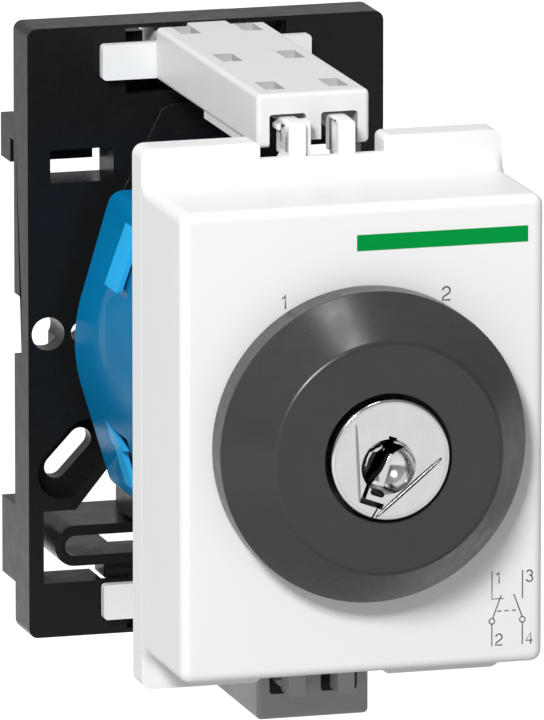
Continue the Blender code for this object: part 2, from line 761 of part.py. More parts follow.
def terminal(side, row, number):
    """One fixed contact with its screw and clamp plate."""
    def x(low, high):
        return mirrored_x((low, high), side)

    def up(low, high):
        return mirrored_x((low, high), row)

    label = str(number)
    bar = block("terminal_" + label, x(7.5, 8.4), up(6.0, 12.4), (16.0, 22.4), BRASS)
    join(bar, block("foot_" + label, x(7.5, 8.4), up(4.0, 6.5), (18.2, 21.8)),
         block("tip_" + label, x(8.0, TIP_X), up(4.2, 5.5), (19.2, 20.8)))
    screw_up = row * TERMINAL_UP
    cut(bar, cross_rod("bar_hole_" + label, screw_up, TERMINAL_OUT, 1.2, x(6, 12)))
    clamp = block("clamp_plate_" + label, x(8.7, 9.5), up(7.4, 11.8), (16.4, 22.0), STEEL)
    cut(clamp, cross_rod("clamp_hole_" + label, screw_up, TERMINAL_OUT, 1.2, x(6, 12)))
    screw = cross_rod("terminal_screw_" + label, screw_up, TERMINAL_OUT, 1.9, x(9.8, 11.2), STEEL, 20)
    join(screw, cross_rod("shank_" + label, screw_up, TERMINAL_OUT, 0.9, x(6.9, 10.0)))
    cut(screw, block("driver_slot_" + label, x(10.6, 12), up(TERMINAL_UP - 2.5, TERMINAL_UP + 2.5),
                     (TERMINAL_OUT - 0.3, TERMINAL_OUT + 0.3)))
    return smooth(bar), smooth(clamp), smooth(screw)


def head_screw(name, centre, out_tail, out_head):
    """A cheese-head screw along the key's direction, its slotted head at out_head."""
    facing = 1 if out_head > out_tail else -1
    head_out = sorted((out_head, out_head - facing * 1.4))
    shank_out = sorted((out_tail, out_head - facing * 0.7))
    screw = rod(name, centre, 1.7, head_out, STEEL, 20)
    join(screw, rod(name + "_shank", centre, 0.85, shank_out, sides=12))
    slot_out = sorted((out_head + facing, out_head - facing * 0.6))
    x = (centre[0] - 0.3, centre[0] + 0.3)
    cut(screw, block(name + "_slot", x, (centre[1] - 2.5, centre[1] + 2.5), slot_out))
    return smooth(screw)


# ---------------------------------------------------------------- assembly

def build():
    base_plate()
    latch = din_latch()
    latch_springs()
    for name, side, top, arm_material in (("upper", 1, ARM_TOP, PALE), ("lower", -1, LOWER_ARM_TOP, GREY)):
        arm(name + "_arm", side, top, arm_material)
        clip(name + "_clip", side, WHITE)
    front_cover()
    key_bezel()
    lock_nut()
    lock_barrel()
    contact_housing()
    index_plate()
    pin, _ = detent()
    right = contact_set(1, "right", CAM_LOW_R)
    left = contact_set(-1, "left", CAM_LOW_R + CAM_LIFT)
    for number, (side, row) in enumerate(((-1, 1), (-1, -1), (1, 1), (1, -1)), start=1):
        terminal(side, row, number)
    for row, word in ((1, "upper"), (-1, "lower")):
        tie = (row * TIE_X, row * TIE_UP)
        head_screw("tie_screw_" + word, tie, BODY_BACK + 2.4, INDEX_OUT[1] + 1.7)
        switch_foot(word, row)
        foot = (row * FOOT_SCREW[0], row * FOOT_SCREW[1])
        head_screw("base_screw_" + word, foot, BODY_BACK - 0.7, 1.2)
    rotor = [lock_plug(), plug_clip(), drive_coupling(), square_shaft(), cam_disc(), detent_wheel()]
    joint_axis("key_axis", (0, 0, PLUG_FACE), rotor)
    joint_axis("latch_axis", (0, LATCH_TOP, 0), [latch])
    joint_axis("detent_axis", (0, WHEEL_R, 33.45), [pin])
    joint_axis("right_contact_axis", (TIP_X, 0, 20), right[:2])
    joint_axis("left_contact_axis", (-TIP_X, 0, 20), left[:2])


build()
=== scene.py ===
"""Looks for the selector key switch: fine surfaces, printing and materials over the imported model.

Panel coordinates are used throughout, in millimetres: x to the right, up, and out towards the person
who turns the key. The zero point is where the key's axis crosses the back of the base plate.
"""
import json
import math

import bmesh
import bpy
from mathutils import Matrix, Vector


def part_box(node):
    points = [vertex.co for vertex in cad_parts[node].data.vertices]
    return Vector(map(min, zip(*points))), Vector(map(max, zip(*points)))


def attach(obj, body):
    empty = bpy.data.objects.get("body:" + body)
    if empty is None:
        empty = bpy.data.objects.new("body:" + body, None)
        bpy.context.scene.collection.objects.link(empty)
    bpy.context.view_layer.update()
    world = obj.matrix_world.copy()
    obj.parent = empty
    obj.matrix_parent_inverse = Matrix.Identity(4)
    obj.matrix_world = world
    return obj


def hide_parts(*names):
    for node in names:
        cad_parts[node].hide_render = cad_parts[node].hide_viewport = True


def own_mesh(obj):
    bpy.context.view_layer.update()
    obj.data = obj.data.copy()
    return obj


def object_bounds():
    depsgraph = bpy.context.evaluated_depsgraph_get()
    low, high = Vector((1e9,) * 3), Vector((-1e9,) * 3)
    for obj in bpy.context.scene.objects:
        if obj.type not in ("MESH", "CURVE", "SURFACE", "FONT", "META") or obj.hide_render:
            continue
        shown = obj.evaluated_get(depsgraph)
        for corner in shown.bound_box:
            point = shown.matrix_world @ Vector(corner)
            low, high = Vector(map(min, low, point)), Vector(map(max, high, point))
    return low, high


MM = 0.001
PANEL = Matrix.Rotation(math.radians(90.0), 4, "X")
SIDE = Matrix(((0, 0, 1, 0), (0, 1, 0, 0), (-1, 0, 0, 0), (0, 0, 0, 1)))

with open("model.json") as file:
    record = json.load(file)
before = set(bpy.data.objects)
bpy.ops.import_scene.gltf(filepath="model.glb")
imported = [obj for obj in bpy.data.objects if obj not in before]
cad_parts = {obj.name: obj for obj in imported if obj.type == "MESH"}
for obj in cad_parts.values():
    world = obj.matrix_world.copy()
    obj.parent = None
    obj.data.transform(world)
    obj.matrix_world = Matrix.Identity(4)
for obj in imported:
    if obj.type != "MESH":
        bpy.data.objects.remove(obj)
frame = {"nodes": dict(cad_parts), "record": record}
CAD_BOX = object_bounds()
FLOOR_LEVEL = CAD_BOX[0][2] - 0.03


# ---------------------------------------------------------------- sizes

BASE_X = 18.0
BASE_UP = 30.3
BASE_CORNER = 0.9
BASE_EDGE = 0.42
BASE_OUT = 5.2
BASE_SKIN = 2.1
PLATEAU_OUT = 6.2
THROUGH_BASE = (-1, 9)
CENTRE_HOLE_R = 10.9
HOOK_X = (9.7, BASE_X)
HOOK_UP = (18.4, 20.3)
LIP_UP = (16.0, 18.7)
CHEEK_UP = (-25.7, -18.0)
HOOK_OUT = -4.8
COLUMN_X = 7.65
CUTOUT_X = 16.5
CUTOUT_TOP = -17.67
CUTOUT_FLOOR = -24.87
SLOT_X = 8.1
SLOT_SILL_X = SLOT_X + 0.3
WINDOW_X = (9.36, 15.72)
WINDOW_UP = (14.97, 18.24)
LONG_SLOT_ENDS = ((11.95, -11.3), (14.45, -13.95))
LONG_SLOT_R = 1.12
LONG_RECESS_R = 2.65
SIDE_HOLE = (16.0, 0.05)
SIDE_HOLE_R = 1.64
PILOT_HOLE = (12.6, 0.0)
PILOT_HOLE_R = 1.1
FOOT_SCREW = (-4.4, 12.9)
SCREW_HOLE_R = 1.15
SCREW_POCKET_R = 2.2

LATCH_X = 15.37
LATCH_TOP = -19.25
LATCH_REACH = -16.0
LATCH_FLOOR = -23.3
LATCH_WALL = 1.03
LATCH_CORNER = 2.02
LATCH_INNER_CORNER = 0.98
LATCH_LIP_X = 6.5

ARM_X = 5.55
ARM_WALL = 1.2
ARM_TOP = 30.2
LOWER_ARM_TOP = 30.7
ARM_CEILING = 28.2
ARM_FOOT = 25.0
ARM_OUT = (6.75, 42.5)
HOLE_PITCH = 14.6
HOLE_X = (2.15, 4.1)
HOLE_LENGTH = 3.9
HOLE_FLOOR = 28.7
RIB_HALF = 0.75
CLIP_X = (-10.8, 10.3)
CLIP_UP = (25.1, 28.6)
CLIP_OUT = (5.5, 6.6)

COVER_X = 17.8
COVER_UP = 26.2
COVER_REAR = 42.3
FLANGE_OUT = 45.4
NOSE_X = 17.78
NOSE_UP = 22.6
NOSE_OUT = 59.3
NOSE_FILLET = 2.0
NOSE_ROUND = 1.0
NOSE_CORNER = 1.1
CAVITY_X = 17.7 - 1.4
CAVITY_UP = NOSE_UP - 1.3
LOCK_HOLE_R = 11.15
PRONG_X = (1.6, 3.27)
PRONG_TOP = 27.9
PRONG_REAR = 40.9
BARB_OUT = 42.8
NOTCH_X = 6.1
NOTCH_FLOOR = 23.7

BEZEL_R = 14.95
BEZEL_BACK = 59.6
BEZEL_FACE = 67.7
BEZEL_BORE_R = 6.17
SHANK_R = 10.8
SHANK_END = 49.0
PLUG_FACE = 68.38
PLUG_FACE_R = 5.77
PLUG_R = 4.35
PLUG_SHOULDER = 66.0
PLUG_END = 50.0
DISH_CENTRE = (-0.24, -0.63)
DISH_RISE = 0.75
DISH_R = 2.75
KEYWAY_CENTRE = (-0.6, -0.7)
KEYWAY_TILT = 20.6

BODY_BACK = 9.0
BODY_FRONT = 30.7
TIE = (4.4, 12.0)
WAIST_X = 15.04
FLANK_LEAN = 4.41
BODY_UP = 14.7
WAIST_DROP = 0.55
WAIST_HALF_UP = 3.0
BAY_OUT = (15.6, 22.8)
BAY_UP = 12.9

# (joint, travel, direction index, fixed end, half the wire's thickness)
SPRINGS = {
    "latch_spring_left": ("latch_slide", 1.5, 2, -28.6, 0.17),
    "latch_spring_right": ("latch_slide", 1.5, 2, -28.6, 0.17),
    "detent_spring": ("detent_slide", 0.8, 2, 12.7, 0.15),
    "contact_spring_right": ("right_contact_slide", 1.2, 0, 13.1, 0.13),
}
# The left contact spring keeps its CAD shape; that one lengthens as its joint moves.

# ---------------------------------------------------------------- studio sizes

CAMERA_LENS = 709.15
CAMERA_AZIMUTH = -16.12
CAMERA_ELEVATION = 12.15
CAMERA_AIM = (0.00729, -0.00309, -0.00437)
CAMERA_DISTANCE = 1.3896
LIGHT_AIM = (0.0, -0.035, 0.0)
FLOOR_HALF_SIZE = 15.0


# ---------------------------------------------------------------- outlines

def arc(centre, radius, start, end, steps):
    """Points on an arc, with both ends; angles in degrees."""
    angles = [math.radians(start + (end - start) * i / steps) for i in range(steps + 1)]
    return [(centre[0] + radius * math.cos(a), centre[1] + radius * math.sin(a)) for a in angles]


def rounded(corners, steps=6):
    """A closed outline from (x, y, radius) corners, each rounded with an arc."""
    outline = []
    count = len(corners)
    for index, (x, y, radius) in enumerate(corners):
        here = Vector((x, y))
        if radius <= 0:
            outline.append((x, y))
            continue
        before = (Vector(corners[index - 1][:2]) - here).normalized()
        after = (Vector(corners[(index + 1) % count][:2]) - here).normalized()
        half = math.acos(max(-1.0, min(1.0, before.dot(after)))) / 2
        centre = here + (before + after).normalized() * (radius / math.sin(half))
        first = here + before * (radius / math.tan(half)) - centre
        last = here + after * (radius / math.tan(half)) - centre
        start = math.atan2(first.y, first.x)
        sweep = (math.atan2(last.y, last.x) - start + math.pi) % (2 * math.pi) - math.pi
        for step in range(steps + 1):
            angle = start + sweep * step / steps
            outline.append((centre.x + radius * math.cos(angle), centre.y + radius * math.sin(angle)))
    return outline


def rectangle(x, y, radius=0.0, steps=6):
    corners = [(x[0], y[0], radius), (x[1], y[0], radius), (x[1], y[1], radius), (x[0], y[1], radius)]
    return rounded(corners, steps)


def circle(centre, radius, sides=48):
    return arc(centre, radius, 0, 360, sides)[:-1]


def capsule(first, second, radius, steps=14):
    """A slot outline round two end centres."""
    angle = math.degrees(math.atan2(second[1] - first[1], second[0] - first[0]))
    return (arc(second, radius, angle - 90, angle + 90, steps)
            + arc(first, radius, angle + 90, angle + 270, steps))


def both_sides(corners):
    """A full outline from its right half, listed from top to bottom."""
    return corners + [(-x, y, r) for x, y, r in reversed(corners)]


def mirrored(limits_of, side):
    """Limits (low, high) on the right or above, or their mirror image."""
    return tuple(sorted((side * limits_of[0], side * limits_of[1])))


# ---------------------------------------------------------------- solids

def as_object(name, mesh, matrix=Matrix.Identity(4)):
    """Link a mesh as an object at the origin, with its place in its points."""
    mesh.transform(matrix)
    piece = bpy.data.objects.new(name, mesh)
    bpy.context.scene.collection.objects.link(piece)
    return piece


def baked(piece):
    """Replace a piece's mesh by what its modifiers make of it."""
    graph = bpy.context.evaluated_depsgraph_get()
    mesh = bpy.data.meshes.new_from_object(piece.evaluated_get(graph))
    piece.modifiers.clear()
    piece.data = mesh
    return piece


def block(name, x, up, out):
    """A rectangular solid from its limits in panel coordinates."""
    mesh = bpy.data.meshes.new(name)
    grid = bmesh.new()
    bmesh.ops.create_cube(grid, size=1.0)
    size = Vector((x[1] - x[0], up[1] - up[0], out[1] - out[0])) * MM
    middle = Vector((x[0] + x[1], up[0] + up[1], out[0] + out[1])) * MM / 2
    bmesh.ops.scale(grid, vec=size, verts=grid.verts)
    bmesh.ops.translate(grid, vec=middle, verts=grid.verts)
    grid.to_mesh(mesh)
    grid.free()
    return as_object(name, mesh, PANEL)


def curve_mesh(name, curve):
    """Turn a curve into a closed mesh with its caps welded on."""
    holder = bpy.data.objects.new(name + "_curve", curve)
    bpy.context.scene.collection.objects.link(holder)
    graph = bpy.context.evaluated_depsgraph_get()
    mesh = bpy.data.meshes.new_from_object(holder.evaluated_get(graph))
    bpy.data.objects.remove(holder, do_unlink=True)
    grid = bmesh.new()
    grid.from_mesh(mesh)
    bmesh.ops.remove_doubles(grid, verts=grid.verts, dist=1e-7)
    bmesh.ops.dissolve_limit(grid, angle_limit=1e-4, verts=grid.verts, edges=grid.edges)
    bmesh.ops.recalc_face_normals(grid, faces=grid.faces)
    grid.to_mesh(mesh)
    grid.free()
    mesh.name = name
    return mesh


def extruded(name, loops, depth, matrix=PANEL):
    """A flat outline, with any holes, drawn out between two depths along its normal."""
    curve = bpy.data.curves.new(name, "CURVE")
    curve.dimensions = "2D"
    curve.fill_mode = "BOTH"
    curve.extrude = (depth[1] - depth[0]) * MM / 2
    for loop in loops:
        spline = curve.splines.new("POLY")
        spline.points.add(len(loop) - 1)
        for point, (x, y) in zip(spline.points, loop):
            point.co = (x * MM, y * MM, 0.0, 1.0)
        spline.use_cyclic_u = True
    mesh = curve_mesh(name, curve)
    mesh.transform(Matrix.Translation((0, 0, (depth[0] + depth[1]) * MM / 2)))
    return as_object(name, mesh, matrix)


def rod(name, centre, radius, out, sides=48):
    return extruded(name, [circle(centre, radius, sides)], out)


def lofted(name, rings):
    """A closed solid through rings of (x, up, out) points, all with the same count."""
    mesh = bpy.data.meshes.new(name)
    grid = bmesh.new()
    rows = [[grid.verts.new(Vector(point) * MM) for point in ring] for ring in rings]
    count = len(rings[0])
    for low, high in zip(rows, rows[1:]):
        for i in range(count):
            j = (i + 1) % count
            grid.faces.new((low[i], low[j], high[j], high[i]))
    grid.faces.new(list(reversed(rows[0])))
    grid.faces.new(rows[-1])
    bmesh.ops.recalc_face_normals(grid, faces=grid.faces)
    grid.to_mesh(mesh)
    grid.free()
    return as_object(name, mesh, PANEL)


def turned(name, profile, sides=144, centre=(0.0, 0.0)):
    """A solid turned about the key's direction from a (radius, out) profile."""
    mesh = bpy.data.meshes.new(name)
    points = [(radius * MM, 0.0, out * MM) for radius, out in profile]
    edges = [(i, i + 1) for i in range(len(points) - 1)]
    if profile[0][0] > 0:
        edges.append((len(points) - 1, 0))
    mesh.from_pydata(points, edges, [])
    piece = as_object(name, mesh)
    screw = piece.modifiers.new("Turn", "SCREW")
    screw.axis = "Z"
    screw.steps = sides
    screw.render_steps = sides
    screw.use_merge_vertices = True
    screw.merge_threshold = 1e-7
    baked(piece)
    grid = bmesh.new()
    grid.from_mesh(piece.data)
    bmesh.ops.remove_doubles(grid, verts=grid.verts, dist=1e-7)
    bmesh.ops.recalc_face_normals(grid, faces=grid.faces)
    grid.to_mesh(piece.data)
    grid.free()
    piece.data.transform(PANEL @ Matrix.Translation((centre[0] * MM, centre[1] * MM, 0)))
    return piece


def combine(piece, operation, others):
    for other in others:
        step = piece.modifiers.new("Combine", "BOOLEAN")
        step.operation = operation
        step.solver = "EXACT"
        step.object = other
    baked(piece)
    for other in others:
        bpy.data.objects.remove(other, do_unlink=True)
    return piece


def cut(piece, *cutters):
    return combine(piece, "DIFFERENCE", cutters)


def join(piece, *solids):
    return combine(piece, "UNION", solids)


def soften(piece, width, segments=3, angle=35.0):
    """Round the edges that are sharper than an angle."""
    bevel = piece.modifiers.new("Round", "BEVEL")
    bevel.width = width * MM
    bevel.segments = segments
    bevel.limit_method = "ANGLE"
    bevel.angle_limit = math.radians(angle)
    bevel.miter_outer = "MITER_ARC"
    bevel.loop_slide = True
    return baked(piece)


def piece_of(piece, material, slot, body, *replaced, angle=32.0):
    """Finish a piece: shading, material, the body it rides on and the CAD nodes it stands for."""
    mesh = piece.data
    mesh.materials.clear()
    mesh.materials.append(material)
    mesh.shade_smooth()
    mesh.set_sharp_from_angle(angle=math.radians(angle))
    normals = piece.modifiers.new("Normals", "WEIGHTED_NORMAL")
    normals.keep_sharp = True
    normals.weight = 80
    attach(piece, body)
    if replaced:
        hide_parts(*replaced)
    return piece


# ---------------------------------------------------------------- materials

def new_material(name, colour, roughness, metallic=0.0, specular=0.5):
    material = bpy.data.materials.new(name)
    material.use_nodes = True
    shader = material.node_tree.nodes["Principled BSDF"]
    shader.inputs["Base Color"].default_value = (*colour, 1.0)
    shader.inputs["Roughness"].default_value = roughness
    shader.inputs["Metallic"].default_value = metallic
    shader.inputs["Specular IOR Level"].default_value = specular
    return material, shader


def noise(material, scale, detail=3.0, stretch=(1.0, 1.0, 1.0)):
    """A noise field in the object's own metres; scale is features per metre."""
    nodes = material.node_tree.nodes
    links = material.node_tree.links
    place = nodes.new("ShaderNodeTexCoord")
    mapping = nodes.new("ShaderNodeMapping")
    mapping.inputs["Scale"].default_value = stretch
    texture = nodes.new("ShaderNodeTexNoise")
    texture.inputs["Scale"].default_value = scale
    texture.inputs["Detail"].default_value = detail
    links.new(place.outputs["Object"], mapping.inputs["Vector"])
    links.new(mapping.outputs["Vector"], texture.inputs["Vector"])
    return texture.outputs["Fac"]


def vary_colour(material, shader, field, dark, light):
    """Drift the colour between two tones with a noise field."""
    ramp = material.node_tree.nodes.new("ShaderNodeValToRGB")
    ramp.color_ramp.elements[0].position = 0.3
    ramp.color_ramp.elements[0].color = (*dark, 1.0)
    ramp.color_ramp.elements[1].position = 0.7
    ramp.color_ramp.elements[1].color = (*light, 1.0)
    material.node_tree.links.new(field, ramp.inputs["Fac"])
    material.node_tree.links.new(ramp.outputs["Color"], shader.inputs["Base Color"])


def vary_roughness(material, shader, field, low, high):
    spread = material.node_tree.nodes.new("ShaderNodeMapRange")
    spread.inputs["From Min"].default_value = 0.3
    spread.inputs["From Max"].default_value = 0.7
    spread.inputs["To Min"].default_value = low
    spread.inputs["To Max"].default_value = high
    material.node_tree.links.new(field, spread.inputs["Value"])
    material.node_tree.links.new(spread.outputs["Result"], shader.inputs["Roughness"])


def add_bump(material, shader, field, strength, depth):
    bump = material.node_tree.nodes.new("ShaderNodeBump")
    bump.inputs["Strength"].default_value = strength
    bump.inputs["Distance"].default_value = depth * MM
    material.node_tree.links.new(field, bump.inputs["Height"])
    material.node_tree.links.new(bump.outputs["Normal"], shader.inputs["Normal"])


def shade(colour, factor):
    return tuple(channel * factor for channel in colour)


def plastic(name, colour, roughness, grain, specular=0.5, spread=0.05, depth=0.01):
    """Moulded plastic: a slow drift of tone, a patchy gloss and the mould's fine texture."""
    material, shader = new_material(name, colour, roughness, specular=specular)
    slow = noise(material, 90.0, 2.0)
    vary_colour(material, shader, slow, shade(colour, 1 - spread), shade(colour, 1 + spread))
    vary_roughness(material, shader, noise(material, 600.0), roughness - 0.04, roughness + 0.05)
    add_bump(material, shader, noise(material, 4000.0, 4.0), grain, depth)
    return material


def metal(name, dark, light, roughness, scratches=0.2, stretch=(1.0, 1.0, 6.0)):
    """Plated or bare metal: a mottled tone, uneven polish and fine drawn lines."""
    material, shader = new_material(name, light, roughness, metallic=1.0)
    vary_colour(material, shader, noise(material, 700.0, 5.0), dark, light)
    vary_roughness(material, shader, noise(material, 1500.0, 4.0, stretch), roughness * 0.75,
                   roughness * 1.3)
    add_bump(material, shader, noise(material, 5000.0, 3.0, stretch), scratches, 0.006)
    return material


def turned_chrome():
    """The lock face: mirror plating with rings left by turning."""
    material, shader = new_material("turned_chrome", (0.86, 0.86, 0.86), 0.1, metallic=1.0)
    nodes = material.node_tree.nodes
    links = material.node_tree.links
    vary_colour(material, shader, noise(material, 500.0, 4.0), (0.84, 0.84, 0.845), (0.9, 0.9, 0.9))
    vary_roughness(material, shader, noise(material, 900.0), 0.09, 0.16)
    place = nodes.new("ShaderNodeTexCoord")
    rings = nodes.new("ShaderNodeTexWave")
    rings.wave_type = "RINGS"
    rings.rings_direction = "Y"
    rings.inputs["Scale"].default_value = 1400.0
    rings.inputs["Distortion"].default_value = 1.5
    links.new(place.outputs["Object"], rings.inputs["Vector"])
    add_bump(material, shader, rings.outputs["Fac"], 0.04, 0.004)
    return material


def blue_polycarbonate(name, colour, alpha):
    """Clear tinted plastic; it lets what lies behind show through."""
    material, shader = new_material(name, colour, 0.2, specular=0.01)
    shader.inputs["Alpha"].default_value = alpha
    vary_colour(material, shader, noise(material, 80.0, 2.0), shade(colour, 0.93), shade(colour, 1.07))
    vary_roughness(material, shader, noise(material, 500.0), 0.14, 0.26)
    add_bump(material, shader, noise(material, 2500.0), 0.04, 0.01)
    return material


BLACK_MOULDING = plastic("black_moulding", (0.0075, 0.0078, 0.0083), 0.26, 0.08, 0.2)
# Painted highlight: a lighter, glossier copy of the black moulding for the bevelled edge of the raised
# field.
PAINTED_EDGE_HIGHLIGHT = plastic("black_painted_edge_highlight", (0.2, 0.201, 0.202), 0.3, 0.05, 1.0)
BLACK_NYLON = plastic("black_nylon", (0.014, 0.014, 0.015), 0.5, 0.3, 0.3)
BEZEL_BLACK = plastic("bezel_black", (0.035, 0.035, 0.0353), 0.29, 0.05, 0.45)
COVER_WHITE = plastic("cover_white", (0.82, 0.826, 0.826), 0.36, 0.06, 0.4, 0.006)
ARM_PALE = plastic("arm_pale_grey", (0.74, 0.75, 0.75), 0.42, 0.08, 0.4, 0.01)
# Painted shade: darker copies of the two arm materials for the walls of the pockets and the inside of the
# channels.
PAINTED_SHADE_PALE = plastic("arm_pale_painted_shade", (0.5, 0.51, 0.51), 0.6, 0.12, 0.2, 0.01)
PAINTED_SHADE_GREY = plastic("arm_grey_painted_shade", (0.16, 0.163, 0.163), 0.6, 0.12, 0.2, 0.01)
ARM_GREY = plastic("arm_grey", (0.34, 0.345, 0.345), 0.42, 0.1, 0.4, 0.03)
NATURAL_NYLON = plastic("natural_nylon", (0.6, 0.56, 0.46), 0.45, 0.15, 0.5, 0.04)
HOUSING_BLUE = blue_polycarbonate("housing_blue", (0.0015, 0.175, 0.385), 0.955)
INNER_BLUE = blue_polycarbonate("housing_blue_inside", (0.003, 0.23, 0.47), 0.5)
# Painted light: a brighter copy of the housing blue for the leaves in the wire mouths, where the lamp falls
# on them.
GUARD_PAINTED_LIGHT_BLUE = blue_polycarbonate("housing_blue_painted_light", (0.03, 0.43, 0.84), 0.95)
CHROME = turned_chrome()
# Painted shade and painted reflection: a grey, duller copy of the chrome for the raised lines on the lock's
# face.
RIB_PAINTED_SHADE = metal("chrome_painted_shade_grey", (0.4, 0.4, 0.4), (0.5, 0.5, 0.5), 0.5)
# Painted shade and painted reflection: a dark copy of the chrome for the faces inside the keyway and the
# recesses round it, and for the right rib's sides.
LOCK_SHADE = metal("lock_recess_painted_shade", (0.05, 0.05, 0.051), (0.09, 0.09, 0.092), 0.4)
BRASS = metal("contact_brass", (0.6, 0.42, 0.17), (0.74, 0.54, 0.24), 0.28)
STEEL = metal("zinc_steel", (0.48, 0.49, 0.51), (0.62, 0.63, 0.65), 0.3)
GREEN_INK = plastic("green_ink", (0.0, 0.27, 0.045), 0.5, 0.05, 0.05, 0.02)
GREY_INK = plastic("grey_ink", (0.1, 0.1, 0.102), 0.45, 0.05, 0.3, 0.02)

SLOT_MATERIALS = {
    "black_moulding": BLACK_MOULDING,
    "black_nylon": BLACK_NYLON,
    "bezel_black": BEZEL_BLACK,
    "cover_white": COVER_WHITE,
    "arm_pale": ARM_PALE,
    "arm_grey": ARM_GREY,
    "housing_blue": HOUSING_BLUE,
    "natural_nylon": NATURAL_NYLON,
    "lock_chrome": CHROME,
    "contact_brass": BRASS,
    "zinc_steel": STEEL,
}


def dress_cad_nodes():
    """Give every CAD node the finished material of its slot."""
    for part in frame["record"]["subparts"]:
        for holder in frame["nodes"][part["node"]].material_slots:
            holder.material = SLOT_MATERIALS[part["material_slot"]]


# ---------------------------------------------------------------- base plate and latch

def base_plate():
    """The black plate: skin, raised field, hooks and openings, with a painted highlight on the raised
    field's edge.
    """
    outline = rectangle((-BASE_X, BASE_X), (-BASE_UP, BASE_UP), BASE_CORNER, 6)
    plate = extruded("base_plate_skin", [outline], (0, BASE_OUT))
    soften(plate, BASE_EDGE, 4)
    solids = [base_plateau()]
    for side in (1, -1):
        solids += rail_hook(side)
    join(plate, *solids)
    cut(plate, *base_openings())
    join(plate,
         block("slot_sill", (-SLOT_SILL_X, SLOT_SILL_X), (23.2, 25.2), (0.0, 1.6)),
         block("slot_web_left", (-SLOT_SILL_X, -5.4), (23.2, 28.9), (0.0, 1.6)),
         block("slot_web_right", (5.4, SLOT_SILL_X), (23.2, 30.0), (0.0, 3.2)))
    soften(plate, 0.13, 2, 50.0)
    piece_of(plate, BLACK_MOULDING, "black_moulding", "frame", "base_plate")
    # Painted highlight: the bevel faces round the raised field take the lighter copy of the black moulding.
    plate.data.materials.append(PAINTED_EDGE_HIGHLIGHT)
    for face in plate.data.polygons:
        out = -face.center.y / MM
        facing = -face.normal.y
        if PLATEAU_OUT - 0.24 < out < PLATEAU_OUT - 0.004 and 0.1 < facing < 0.97:
            face.material_index = 1
    return plate


def base_plateau():
    """The raised field round the centre hole, narrowing towards the top."""
    half = [(4.5, 22.4, 2.0), (11.2, 9.0, 1.0), (9.0, 4.6, 1.0), (9.0, -4.6, 1.0),
            (11.2, -9.0, 1.0), (COLUMN_X, -12.0, 0.6), (COLUMN_X, -18.9, 0.4)]
    return soften(extruded("plateau", [rounded(both_sides(half))], (3.4, PLATEAU_OUT)), 0.22, 3)


def rail_hook(side):
    """The upper rail hook with its lip, and the cheek that guides the latch."""
    hook_x = mirrored(HOOK_X, side)
    cheek_x = mirrored((CUTOUT_X, BASE_X), side)
    return [block("hook", hook_x, HOOK_UP, (HOOK_OUT, 0.5)),
            block("lip", hook_x, LIP_UP, (HOOK_OUT, -1.3)),
            block("cheek", cheek_x, CHEEK_UP, (HOOK_OUT - 0.1, 0.5))]


def base_openings():
    """Everything that is cut out of the plate."""
    cutters = [
        rod("centre_hole", (0, 0), CENTRE_HOLE_R, THROUGH_BASE, 96),
        block("upper_slot", (-SLOT_X, SLOT_X), (23.4, 29.9), THROUGH_BASE),
        block("lower_slot", (-5.3, 5.3), (-29.7, -25.9), THROUGH_BASE),
        block("lower_slot_mouth", (-SLOT_X, SLOT_X), (-29.85, -27.2), (3.9, 9)),
        block("latch_bay", (-CUTOUT_X, CUTOUT_X), (CUTOUT_FLOOR, -18.9), THROUGH_BASE),
    ]
    for row in (1, -1):
        centre = (row * FOOT_SCREW[0], row * FOOT_SCREW[1])
        cutters.append(rod("screw_hole", centre, SCREW_HOLE_R, THROUGH_BASE, 32))
        cutters.append(rod("screw_pocket", centre, SCREW_POCKET_R, (-1, BASE_OUT - BASE_SKIN), 32))
    for side in (1, -1):
        cutters += base_side_openings(side)
    return cutters


def base_side_openings(side):
    """Everything that is cut out of one half of the plate."""
    slot_ends = [(side * x, up) for x, up in LONG_SLOT_ENDS]
    bay = rounded([(CUTOUT_X, -19.2, 0), (CUTOUT_X, CUTOUT_TOP, 0), (13.27, CUTOUT_TOP, 0),
                   (COLUMN_X, -10.8, 0.5), (COLUMN_X, -19.2, 0)])
    bay = [(side * x, y) for x, y in bay]
    pocket_depth = (-1, BASE_OUT - BASE_SKIN)
    pockets = [((9.6, 16.4), (21.6, 28.8)), ((11.0, 16.4), (4.6, 13.6)), ((11.6, 16.4), (-28.8, -26.3))]
    cutters = [block("pocket", mirrored(x, side), up, pocket_depth) for x, up in pockets]
    return cutters + [
        block("window", mirrored(WINDOW_X, side), WINDOW_UP, (-1.1, 9)),
        rod("side_hole", (side * SIDE_HOLE[0], SIDE_HOLE[1]), SIDE_HOLE_R, THROUGH_BASE),
        rod("pilot_hole", (side * PILOT_HOLE[0], PILOT_HOLE[1]), PILOT_HOLE_R, THROUGH_BASE),
        extruded("long_slot", [capsule(*slot_ends, LONG_SLOT_R)], THROUGH_BASE),
        extruded("long_recess", [capsule(*slot_ends, LONG_RECESS_R)], (2.0, 9)),
        extruded("strut_bay", [bay], THROUGH_BASE),
        block("side_notch", mirrored((14.6, 19.0), side), (-2.8, 3.25), (-1, 2.65)),
        block("leg_pocket", mirrored((6.0, 10.5), side), (-26.6, -24.0), (-1, 4.4)),
        block("spring_pocket", mirrored((6.6, 9.8), side), (-28.9, -26.0), (-1, 3.5)),
    ]


